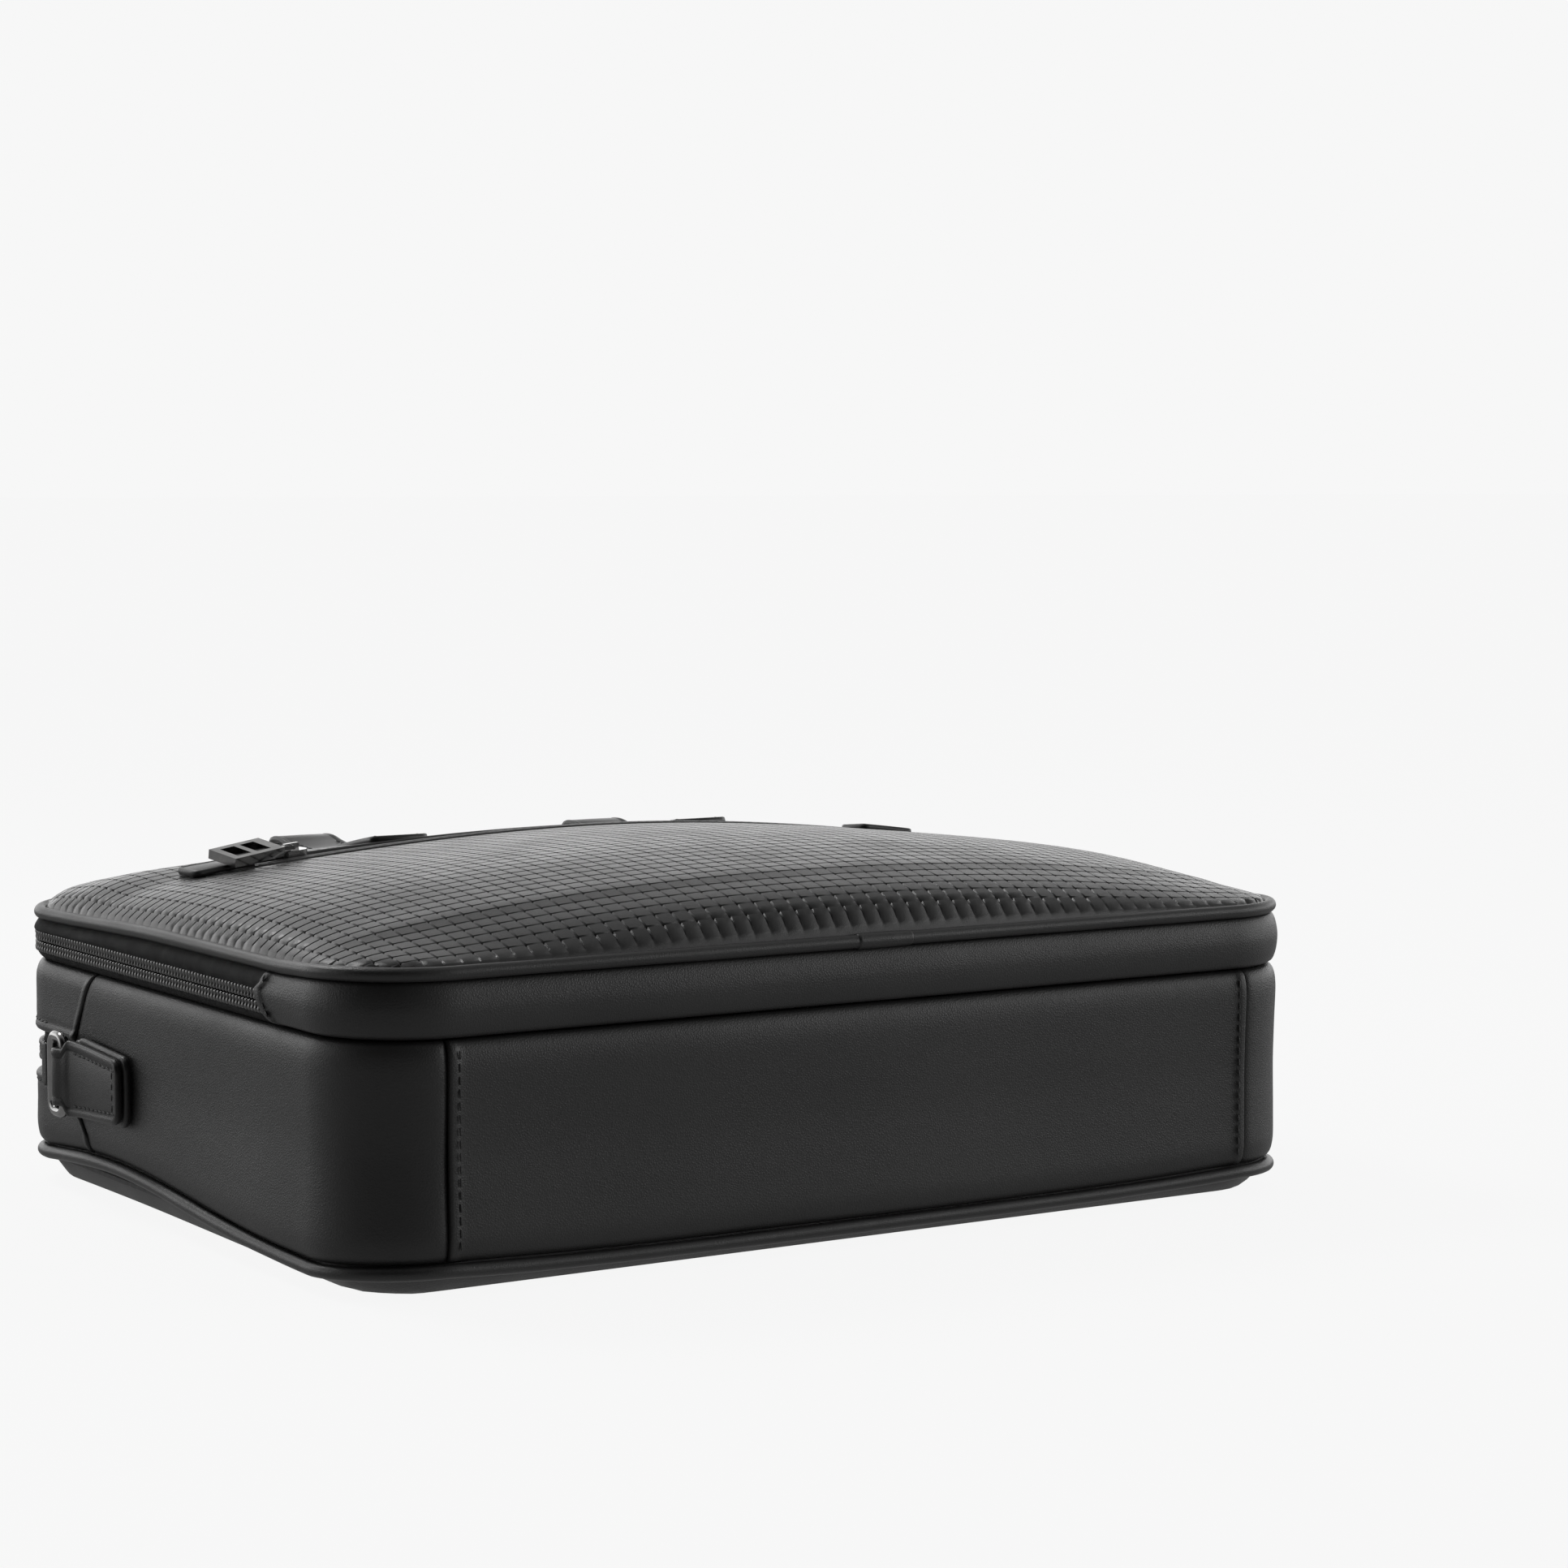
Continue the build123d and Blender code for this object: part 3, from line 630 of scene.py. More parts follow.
BASE_RUN = base_run(BASE_SEAM_X)
SIDE_SEAM_Z = np.array([9.0, 17, 29, 34, 54, 59, 84, 86])
SIDE_SEAM_Y = TOP_SEAM_Y - np.array([10.5, 10, 0, 0, 0, 0, 16, 17.5])


def side_seam(z):
    return np.interp(z, SIDE_SEAM_Z, SIDE_SEAM_Y)


def right_seam_run(z):
    return right_run(side_seam(z))


def left_seam_run(z):
    return PERIMETER - right_seam_run(z)


def base_shape(run, z, before, after):
    return swell(run, z) + folded(before) + folded(after)


def side_shape(base_at_end):
    """A side wall tucks under the base panel at one end and under the top gusset at the other."""

    def shape(run, z, before, after):
        base, top = (after, before) if base_at_end else (before, after)
        fullness = 0.5 * (1 - np.exp(-base / 9)) * np.exp(-base / 30)
        return swell(run, z) + fullness + tucked(base) + tucked(top, 0.9, 0.8) - 0.25 * bell(top, 2.2, 0.5)

    return shape


def strip_shape(run, z, before, after):
    near = np.minimum(before, after)
    fold = 0.55 * (1 - smoothstep(near, 2.0, 4.4)) - 0.9 * np.clip(1 - near / 0.8, 0, 1) ** 2
    return swell(run, z) * 0.7 + fold


def end_shape(run, z, before, after):
    near = np.minimum(before, after)
    return swell(run, z) * 0.4 + tucked(near, 0.5, 0.7)


START_RUN = base_run(-BASE_SEAM_X)
make("base_panel_leather", band(START_RUN, BASE_RUN, WALL, base_shape), LEATHER, "case", ["base_panel"])
right_wall = band(BASE_RUN + 0.1, lambda z: right_seam_run(z) - 0.1, WALL, side_shape(False))
make("side_wall_right_leather", right_wall, LEATHER, "case", ["side_wall_right"])
left_wall = band(lambda z: left_seam_run(z) + 0.1, PERIMETER - BASE_RUN - 0.1, WALL, side_shape(True))
make("side_wall_left_leather", left_wall, LEATHER, "case", ["side_wall_left"])
upper_strip = band(right_seam_run, left_seam_run, UPPER_STRIP, strip_shape)
make("top_strip_front_leather", upper_strip, LEATHER, "case", ["top_strip_front"])
rear_right = band(right_seam_run, top_run(FLAP_X + GAP), LOWER_STRIP, strip_shape)
rear_left = band(top_run(-FLAP_X - GAP), left_seam_run, LOWER_STRIP, strip_shape)
make("top_strip_rear_leather", merge([rear_right, rear_left]), LEATHER, "case", ["top_strip_rear_ends"])
flap = band(top_run(FLAP_X), top_run(-FLAP_X), LOWER_STRIP, end_shape)
make("mouth_flap_leather", flap, LEATHER, "mouth_flap", ["mouth_flap"])

PATCH_EDGE = [(-1.6, -0.6), (-0.6, 1.6)]
patch_low = [(o, LIP_LOW + z) for o, z in PATCH_EDGE]
patch_high = [(o, LIP_HIGH - z) for o, z in reversed(PATCH_EDGE)]
PATCH = skin_profile(patch_low + [(-0.7, MAIN_ZIP_Z)] + patch_high)
patch_start, patch_end = right_run(TOP_SEAM_Y + 0.3), right_run(MAIN_ZIP_END_Y)
patches = [
    band(patch_start, patch_end, PATCH, end_shape),
    band(PERIMETER - patch_end, PERIMETER - patch_start, PATCH, end_shape),
]


def keeper(run):
    """A leather strip across the end of the zip."""
    z = np.linspace(MAIN_ZIP_Z - 13.5, MAIN_ZIP_Z + 5.5, 28)
    path, normals = on_wall(np.full(len(z), run), z, 0.9)
    return ribbon(path, normals, 5.4, 2.0, 0.0, 2.4)


patches += [keeper(patch_end), keeper(PERIMETER - patch_end)]
make("main_zip_end_patches_leather", merge(patches), LEATHER, "case", ["main_zip_end_patches"])

# ---- front band, with the folded ends beside the zip ---------------------------------------------
BAND = skin_profile([
    (-9.5, BAND_LOW - 0.7), (-6.5, BAND_LOW - 0.2), (-4, BAND_LOW + 0.1), (-1.6, 86.4), (-0.6, 88), (0.2, 91),
    (0.6, 95), (0.4, 98), (-0.2, 101), (-1, 103), (-2.2, BAND_TOP), (-4.4, BAND_TOP + 0.2)
], 0.9)
FOLD_Z = np.array([85.5, 88.2, 91.5, 93.8, 97.9, 100.6, 104.6])
FOLD_Y = FRONT_ZIP_END_Y + np.array([-2.9, 1.4, 4.8, 5.8, 7.0, 4.0, 3.0])


def fold_run(z):
    return right_run(np.interp(z, FOLD_Z, FOLD_Y))


def band_shape(run, z, before, after):
    near = np.minimum(before, after)
    fold = 0.9 * (1 - smoothstep(near, 3.4, 5.2)) - 1.4 * np.clip(1 - near / 1.1, 0, 1) ** 2
    return swell(run, z * 0.6) * 0.6 + fold


front_band = band(lambda z: -fold_run(z), fold_run, BAND, band_shape, still=True)
make("front_band_leather", front_band, LEATHER, "case", ["front_band"])

# ---- zips: woven tapes and metal teeth -----------------------------------------------------------
ZIP_RUNS = right_run(FRONT_ZIP_END_Y + GAP), PERIMETER - right_run(FRONT_ZIP_END_Y + GAP)


def tape_section(points):
    return skin_profile(points, 0.7, 0.6)


upper_tape = tape_section([
    (-2.9, BAND_TOP + 0.1), (-1.8, BAND_TOP - 1), (-0.7, 101.4),
    (-0.6, 99), (-1.2, 97.0), (-1.6, 95.6), (-1.6, 92.7)
])
lower_tape = tape_section([
    (-1.6, 92.1), (-1.6, 88.8), (-2.0, 87.6), (-3.0, 86.4), (-4.2, BAND_LOW + 0.2), (-7.5, BAND_LOW - 0.5)
])
for level, body, section in (("upper", "cover", upper_tape), ("lower", "case", lower_tape)):
    tape = band(*ZIP_RUNS, section, still=True, step=4)
    make(f"front_zip_tape_{level}_cloth", tape, TAPE, body, [f"front_zip_tape_{level}"])


def tooth(length, wide, deep):
    """One metal tooth: a clamp on the tape's cord, a narrower neck and a head with a rounded end."""
    shape = [
        (0.0, 0.62, 0.5, 0.0), (0.18, 0.86, 0.86, 0.0), (0.6, 0.98, 1.0, 0.0),
        (1.35, 0.96, 1.0, 0.05), (1.9, 0.74, 0.82, 0.0), (2.5, 0.72, 0.8, 0.0),
        (3.1, 0.94, 0.94, 0.0), (3.62, 0.86, 0.84, 0.0), (3.9, 0.5, 0.5, 0.0)
    ]
    scale = length / 3.9
    return spindle([(a * scale, b * wide / 2, c * deep / 2, e) for a, b, c, e in shape], 8, 0.55)


def teeth_row(start, end, shift, side, middle_z, offset, deep):
    """A row of teeth along the case wall, above (side 1) or below (-1) the middle line of its zip."""
    count = int((end - start) / TOOTH_PITCH)
    runs = start + (np.arange(count) + 0.5 + shift) * TOOTH_PITCH
    places, normals = on_wall(runs, middle_z + side * ZIP_HALF, offset)
    reach = np.zeros_like(places)
    reach[:, 2] = -side
    return scatter(tooth(TOOTH_REACH, 2.05, deep), places, reach, np.cross(normals, reach), normals)


MAIN_RUNS = MAIN_START, MAIN_END = right_run(MAIN_ZIP_END_Y), PERIMETER - right_run(MAIN_ZIP_END_Y)
FLAP_RUNS = top_run(FLAP_X), top_run(-FLAP_X)
REAR_PARTS = ((MAIN_START, FLAP_RUNS[0] - GAP), (FLAP_RUNS[1] + GAP, MAIN_END))
FRONT_TEETH = {"middle_z": FRONT_ZIP_Z, "offset": -1.1, "deep": 1.7}
MAIN_TEETH = {"middle_z": MAIN_ZIP_Z, "offset": -2.2, "deep": 2.3}
teeth_rows = (
    ("front_zip_teeth_upper_row", "cover", "front_zip_teeth_upper", [ZIP_RUNS], 0, 1, FRONT_TEETH),
    ("front_zip_teeth_lower_row", "case", "front_zip_teeth_lower", [ZIP_RUNS], 0.25, -1, FRONT_TEETH),
    ("main_zip_teeth_front_row", "case", "main_zip_teeth_front", [MAIN_RUNS], 0, 1, MAIN_TEETH),
    ("main_zip_teeth_rear_rows", "case", "main_zip_teeth_rear_ends", REAR_PARTS, 0.25, -1, MAIN_TEETH),
    ("mouth_flap_teeth_row", "mouth_flap", "mouth_flap_teeth", [FLAP_RUNS], 0, -1, MAIN_TEETH),
)
for name, body, node, stretches, shift, side, sizes in teeth_rows:
    rows = [teeth_row(start, end, shift, side, **sizes) for start, end in stretches]
    make(name, merge(rows), TEETH, body, [node])

main_upper_tape = tape_section([(-4.4, LIP_HIGH + 5), (-3.9, LIP_HIGH), (-3.9, MAIN_ZIP_Z + 0.2)])
main_lower_tape = tape_section([(-3.9, MAIN_ZIP_Z - 0.2), (-3.9, LIP_LOW), (-4.4, LIP_LOW - 5)])
tape_start, tape_end = MAIN_START - 5, MAIN_END + 5
rear_tapes = ((tape_start, REAR_PARTS[0][1]), (REAR_PARTS[1][0], tape_end))
main_tapes = (
    ("main_zip_tape_front_cloth", "case", "main_zip_tape_front", [(tape_start, tape_end)], main_upper_tape),
    ("main_zip_tape_rear_cloth", "case", "main_zip_tape_rear_ends", rear_tapes, main_lower_tape),
    ("mouth_flap_tape_cloth", "mouth_flap", "mouth_flap_tape", [FLAP_RUNS], main_lower_tape),
)
for name, body, node, stretches, section in main_tapes:
    tapes = [band(start, end, section, step=4) for start, end in stretches]
    make(name, merge(tapes), TAPE, body, [node])

# ---- piping ------------------------------------------------------------------------------------
piping_run = np.linspace(0, PERIMETER, 560, endpoint=False)


def piping_path(z, lift=False):
    place, _ = outline(piping_run, -PIPING_R)
    moved = sag(piping_run) if lift else -front_dip(place[:, 0], place[:, 1])
    return np.column_stack([place, z + moved])


def piping_radius(phase):
    return PIPING_R * (1 + 0.025 * np.sin(piping_run / 23 + phase) + 0.015 * np.sin(piping_run / 7.3 + phase))


back_roll = tube(piping_path(BACK_PIPING_Z, lift=True), piping_radius(0), UP, 20, closed=True)
make("back_piping_roll", back_roll, PIPING, "case", ["back_piping"])
front_roll = tube(piping_path(FRONT_PIPING_Z), piping_radius(2), UP, 20, closed=True)
front_piping = ["front_piping_lower", "front_piping_upper"]
make("front_piping_roll", front_roll, PIPING, BENDING, front_piping)

sleeve_run = np.linspace(-5.7, 15.7, 40)
sleeve_place, _ = outline(sleeve_run, -PIPING_R)
sleeve_path = np.column_stack([sleeve_place, np.full(len(sleeve_run), FRONT_PIPING_Z)])
sleeve_radius = PIPING_R + 0.42 - 0.2 * smoothstep(sleeve_run, 6, 15.7)
make("piping_joint_sleeve", tube(sleeve_path, sleeve_radius, UP, 20), PIPING, "case")

# ---- front panel: a padded dome of leather embossed with a grid -----------------------------------
PANEL_EDGE_Z = FRONT_PIPING_Z + 2.3
PANEL_INSET = 4.2
GRID = 6.6
CREST = smooth_curve([
    (-152, 114), (-148, 116), (-142, 118.4), (-130, 123), (-115, 126.8), (-100, 129.8), (-55, 133.6),
    (0, 133.4), (68, 129.3), (110, 122), (135, 116.5), (148, 113.5), (152, 112.6)
], 400)
SPLIT_Y = -50.0
COLUMN_START = 0.34
GROOVE_DEPTH, GROOVE_HALF = 0.85, 0.52
CELL = np.array([0, GROOVE_HALF, GRID / 2, GRID - GROOVE_HALF])


def inside(x, y, inset=0.0):
    """Distance inside the plan outline, and the outward direction there."""
    dx, dy = np.abs(x) - CENTRE_X, np.abs(y) - CENTRE_Y
    reach = np.hypot(np.maximum(dx, 0), np.maximum(dy, 0)) + np.minimum(np.maximum(dx, dy), 0)
    round_part = (dx > 0) & (dy > 0)
    along_x = np.where(round_part, dx / np.maximum(np.hypot(dx, dy), 1e-9), dx > dy)
    along_y = np.where(round_part, dy / np.maximum(np.hypot(dx, dy), 1e-9), dx <= dy)
    return CORNER_R - inset - reach, along_x * np.sign(x), along_y * np.sign(y)


def crest(x, y):
    """Height of the padding. Towards the handles it is fuller, most of all on the left."""
    x = np.asarray(x, float)
    fuller = smoothstep(y, 60, 105) * (x**2 / 9100 - 0.02 * x)
    return np.interp(y, CREST[:, 0], CREST[:, 1]) - x**2 / 2200 + fuller


def dome(x, y):
    """Height of the front panel, without its embossing."""
    depth, _, _ = inside(x, y, PANEL_INSET)
    edge = PANEL_EDGE_Z - front_dip(x, y)
    beside = smoothstep(np.abs(x) - np.abs(y) - (HALF_X - HALF_Y), -10, 30)
    fullness = 1 - np.exp(-np.maximum(depth, 0) / (3 + 5 * beside))
    soft = 0.25 * np.sin(x / 37 + y / 51) + 0.2 * np.sin(y / 29 - x / 43 + 1.0)
    rise = crest(x, y) + soft - edge
    rise = (rise + np.sqrt(rise**2 + 60)) / 2 - 0.4
    return edge + rise * fullness


def dome_points(x, y, rise=0.0):
    x, y = np.broadcast_arrays(np.asarray(x, float), np.asarray(y, float))
    return np.stack([x, y, dome(x, y) + rise], -1)


def dome_normals(points):
    x, y = points[:, 0], points[:, 1]
    slope_x = dome(x + 0.5, y) - dome(x - 0.5, y)
    slope_y = dome(x, y + 0.5) - dome(x, y - 0.5)
    normals = np.column_stack([-slope_x, -slope_y, np.ones(len(x))])
    return normals / np.linalg.norm(normals, axis=1, keepdims=True)


def grid_lines(first, low, high):
    """Places to sample a surface at: the groove lines, both their edges and the middles between them."""
    lines = first + GRID * np.arange(math.floor((low - first) / GRID), math.ceil((high - first) / GRID) + 1)
    places = (lines[:, None] + CELL).ravel()
    return places[(places >= low) & (places <= high)]


def groove(distance):
    """Height across one grid cell, from its groove line."""
    near = np.minimum(distance, GRID - distance)
    return -GROOVE_DEPTH * np.clip(1 - near / GROOVE_HALF, 0, 1) + 0.05 * np.clip(near / (GRID / 2), 0, 1)


def grid_surface(x, y, height, inset, keep=None):
    """A sheet over the grid x by y, cut to the outline. Keep says which places it covers."""
    gx, gy = np.meshgrid(x, y)
    depth, out_x, out_y = inside(gx, gy, inset)
    pull = np.minimum(depth, 0)
    gx, gy = gx + pull * out_x, gy + pull * out_y
    points = np.stack([gx, gy, height(gx, gy)], -1).reshape(-1, 3)
    columns = len(x)
    index = np.arange(len(y) * columns).reshape(len(y), columns)
    quads = np.stack([index[:-1, :-1], index[:-1, 1:], index[1:, 1:], index[1:, :-1]], -1).reshape(-1, 4)
    wanted = (depth.ravel()[quads] > 0).any(1)
    if keep:
        centre = points[quads].mean(1)
        wanted &= keep(centre[:, 0], centre[:, 1])
    return points, quads[wanted]


def with_rim(points, quads, drop):
    """Adds a turned-down rim along every free edge of a sheet."""
    sides = np.concatenate([quads[:, [k, (k + 1) % 4]] for k in range(4)])
    keys = np.sort(sides, 1)
    _, first, count = np.unique(keys, axis=0, return_index=True, return_counts=True)
    rim = sides[first[count == 1]]
    used, back = np.unique(rim, return_inverse=True)
    back = back.reshape(-1, 2)
    low = points[used] - [0, 0, drop]
    start = len(points)
    walls = np.column_stack([rim[:, 1], rim[:, 0], start + back[:, 0], start + back[:, 1]])
    all_points = np.vstack([points, low])
    kept, renumbered = np.unique(np.concatenate([quads.ravel(), walls.ravel()]), return_inverse=True)
    faces = renumbered.reshape(-1, 4)
    return all_points[kept], faces.tolist()


crest_y = np.linspace(-HALF_Y, HALF_Y, 1217)
crest_rise = np.interp(crest_y, CREST[:, 0], CREST[:, 1])
crest_run = np.concatenate([[0], np.cumsum(np.hypot(np.diff(crest_y), np.diff(crest_rise)))])
split_run = float(np.interp(SPLIT_Y, crest_y, crest_run))
row_run = grid_lines(split_run, crest_run[0], crest_run[-1])
row_y = np.interp(row_run, crest_run, crest_y)
column_x = grid_lines(COLUMN_START, -HALF_X, HALF_X)
SLIT = span("pocket_zip_tape", Y)


def embossed(x, y):
    """Height of the front panel with its grid, flattened and turned down at the edge."""
    run = np.interp(y, crest_y, crest_run)
    across = groove(np.mod(x - COLUMN_START, GRID))
    down = groove(np.mod(run - split_run, GRID))
    depth, _, _ = inside(x, y, PANEL_INSET)
    edge = -1.6 * (1 - smoothstep(depth, 0, 0.9))
    return dome(x, y) + np.minimum(across, down) * smoothstep(depth, 0.5, 2.5) + edge


def in_slit(x, y):
    return (np.abs(x) < POCKET_HALF + 0.3) & (y > SLIT[0]) & (y < SLIT[1])


panel_columns = np.union1d(column_x, [-POCKET_HALF - 0.3, POCKET_HALF + 0.3])
bend_rows = row_y[row_y <= SPLIT_Y + 1e-6]
main_rows = np.union1d(row_y[row_y >= SPLIT_Y - 1e-6], SLIT)
panels = (
    ("bend", bend_rows, lambda x, y: y < SPLIT_Y, BENDING, "front_panel_lower"),
    ("main", main_rows, lambda x, y: ~in_slit(x, y), "cover", "front_panel_upper"),
)
for name, rows, keep, body, node in panels:
    sheet = with_rim(*grid_surface(panel_columns, rows, embossed, PANEL_INSET, keep), 4.0)
    panel = make(f"front_panel_{name}", sheet, EMBOSSED, body, [node], open_sheet=True)


def under_sheet(rise, low, high, half, wave):
    """A cloth face on the inside of the dome."""
    x, y = np.arange(-half, half + 0.1, 4.0), np.linspace(low, high, int((high - low) / 4) + 1)

    def height(gx, gy):
        return dome(gx, gy) - rise + wave * np.sin(gx / 13 + gy / 19) * np.sin(gy / 11 - gx / 23)

    return with_rim(*grid_surface(x, y, height, PANEL_INSET + 1.5), -0.8)


cover_cloth = under_sheet(4.6, SPLIT_Y + 2, 148, 196, 0.15)
make("cover_lining", cover_cloth, LINING, "cover", open_sheet=True)
pocket_cloth = under_sheet(6.2, *span("pocket_bag", Y), span("pocket_bag", X)[1], 0.35)
make("pocket_bag_cloth", pocket_cloth, LINING, "cover", ["pocket_bag"], open_sheet=True)

# ---- the slit pocket and its zip ----------------------------------------------------------------
slit_x = np.linspace(-POCKET_HALF, POCKET_HALF, 90)


def dome_strip(low, high):
    """A narrow strip under the dome's surface, along X."""
    y = np.array([low, (low + high) / 2, high, high, (low + high) / 2, low])
    rise = np.array([-2.2] * 3 + [-2.9] * 3)
    rings = []
    for x in slit_x:
        rings.append(dome_points(np.full(6, x), y, rise))
    return loft(np.array(rings))


tape_parts = [dome_strip(SLIT[0], POCKET_Y - 0.2), dome_strip(POCKET_Y + 0.2, SLIT[1])]
make("pocket_zip_tape_cloth", merge(tape_parts), TAPE, "cover", ["pocket_zip_tape"])


def pocket_teeth(side, shift):
    x = -POCKET_HALF + (np.arange(int(2 * POCKET_HALF / TOOTH_PITCH)) + 0.5 + shift) * TOOTH_PITCH
    places = dome_points(x, np.full(len(x), POCKET_Y + side * 3.0), -1.5)
    normals = dome_normals(places)
    reach = np.cross(normals, np.broadcast_to((1.0, 0, 0), normals.shape)) * -side
    reach /= np.linalg.norm(reach, axis=1, keepdims=True)
    return scatter(tooth(2.85, 1.95, 1.6), places, reach, np.cross(normals, reach), normals)


pocket_rows = merge([pocket_teeth(1, 0), pocket_teeth(-1, 0.25)])
make("pocket_zip_teeth_rows", pocket_rows, TEETH, "cover", ["pocket_zip_teeth"])

lip_plan = rounded_rectangle(2 * POCKET_HALF + 7, SLIT[1] - SLIT[0] + 5, 2.5, 5) + [0, POCKET_Y]
lip_plan = resample(lip_plan, 320, closed=True)
LIP_SECTION = np.array([
    (-2.6, -1.2), (-2.8, 0.0), (-2.3, 0.75), (-1.2, 1.0), (0.2, 0.7),
    (0.9, 0.35), (1.6, 0.65), (2.7, 0.55), (3.2, 0.0), (3.0, -1.2)
])


def frame_round(plan, section):
    """A raised border carried round a closed line on the dome. Section runs from inside to outside."""
    tangent = along(plan, closed=True)
    outward = np.column_stack([tangent[:, 1], -tangent[:, 0]])
    x = plan[:, None, 0] + section[None, :, 0] * outward[:, None, 0]
    y = plan[:, None, 1] + section[None, :, 0] * outward[:, None, 1]
    return loft(dome_points(x, y, section[None, :, 1]), closed_path=True)


make("pocket_lips", frame_round(lip_plan, LIP_SECTION), LEATHER, "cover")
for side in ("left", "right"):
    tab_width = np.diff(span(f"pocket_tab_{side}", Y))[0]
    path = dome_points(np.linspace(*span(f"pocket_tab_{side}", X), 34), POCKET_Y, 1.7)
    tab = ribbon(path, dome_normals(path), tab_width, 2.6, 2.2, 3.0)
    make(f"pocket_tab_{side}_leather", tab, PAINTED, "cover", [f"pocket_tab_{side}"])

# ---- back panel: a soft pillow that lies on the ground --------------------------------------------
STRAP_WIDTH = 25.0
STRAP_X = span("front_handle_straps", X)[1] - STRAP_WIDTH / 2


BACK_INSET = 4.6
HOLLOW_STEPS = (13.2, 15, 16.5)


def back_face(x, y):
    """Height of the back panel's underside, with a hollow over each rear handle strap."""
    depth, _, _ = inside(x, y, BACK_INSET)
    edge_run = 9.2 + np.abs(x) / HALF_X * side_sag(y) * (np.abs(x) > CENTRE_X - 60)
    pillow = edge_run * (1 - smoothstep(depth, -3, 12)) ** 1.5
    beside = smoothstep(np.abs(np.abs(x) - STRAP_X), HOLLOW_STEPS[0], HOLLOW_STEPS[-1])
    return np.maximum(pillow, 4.9 * (1 - beside) * smoothstep(y, 103, 108))


steps = [side * (STRAP_X + turn * step) for side in (-1, 1) for turn in (-1, 1) for step in HOLLOW_STEPS]
back_x = np.union1d(np.arange(-196, 196.1, 4.0), steps)
back_y = np.union1d(np.arange(-148, 148.1, 4.0), [103, 104.5, 106.5, 108])
back_points, back_quads = grid_surface(back_x, back_y, back_face, BACK_INSET)
back = with_rim(back_points, back_quads[:, ::-1], -3.0)
make("back_panel_leather", back, LEATHER, "case", ["back_panel"], open_sheet=True)

# ---- handle straps ------------------------------------------------------------------------------
FRONT_PIVOT = joint_place("front_handle_swing")
REAR_PIVOT = joint_place("rear_handle_swing")


def yz_path(points, count, x):
    """A smooth path in a plane of constant X, with normals on its left."""
    line = smooth_curve(points, count)
    tangent = along(line)
    normals = np.column_stack([np.zeros(count), -tangent[:, 1], tangent[:, 0]])
    return np.column_stack([np.full(count, x), line]), normals


def arc(centre, radius, start, end, count=9):
    angle = np.radians(np.linspace(start, end, count))
    return [(centre[0] + radius * math.cos(a), centre[1] + radius * math.sin(a)) for a in angle]


LOOP_R = 4.0
front_line = [(75, 128.2), (92, 125.2), (110, 121.6), (128, 118.6), (141, 118.2), (152, 119.5), (160, 121)]
front_line += arc(FRONT_PIVOT[1:], LOOP_R, 78, -100, 10) + [(159, 113.4), (152.5, 114.6)]
rear_line = [(111.5, 2.6), (130, 2.6), (150, 2.6), (159, 3.2)]
rear_line += arc(REAR_PIVOT[1:], LOOP_R, -80, 120, 10) + [(160.6, 9.6), (157.6, 7.7), (155.0, 6.6)]


def handle_strap(line, count, facing, thickness, stitched, x):
    """A strap along a line, and its two rows of stitches. Facing 1 turns its good side to the line's left."""
    path, normals = yz_path(line, count, x)
    normals = normals * facing
    middle_row = path[stitched] + normals[stitched] * (thickness / 2 - 0.05)
    rows = []
    for edge in (-1, 1):
        row = middle_row + [edge * (STRAP_WIDTH / 2 - 3.4), 0, 0]
        rows.append(stitch_row(row, normals[stitched]))
    return ribbon(path, normals, STRAP_WIDTH, thickness, 2.6, 3.0), rows


front_straps, strap_stitches, rear_straps, rear_stitches = [], [], [], []
for x in (-STRAP_X, STRAP_X):
    strap, rows = handle_strap(front_line, 90, 1, 3.0, slice(2, 60), x)
    front_straps.append(strap)
    strap_stitches += rows
    strap, rows = handle_strap(rear_line, 80, -1, 2.8, slice(3, 50), x)
    rear_straps.append(strap)
    rear_stitches += rows
make("front_handle_straps_leather", merge(front_straps), PAINTED, "cover", ["front_handle_straps"])
make("rear_handle_straps_leather", merge(rear_straps), PAINTED, "case", ["rear_handle_straps"])

# ---- handles: wire rings, wrapped ends and rolled grips --------------------------------------------
RING_WIDTH, RING_DROP, BAR_R = 33.0, 17.0, 2.0
GRIP_DROP, GRIP_BEND, GRIP_R, GRIP_END_R = 62.0, 22.0, 6.0, 4.0
END_LENGTH, END_R = 12.5, 3.6


def grip_line(count):
    """The grip's middle line, as (place along X, distance down from the pivot)."""
    corner = arc((STRAP_X - GRIP_BEND, GRIP_DROP - GRIP_BEND), GRIP_BEND, 0, 90, 12)
    half = np.array([(STRAP_X, RING_DROP + 6), *corner, (0, GRIP_DROP)])
    return resample(np.vstack([half, (half * [-1, 1])[::-1][1:]]), count)


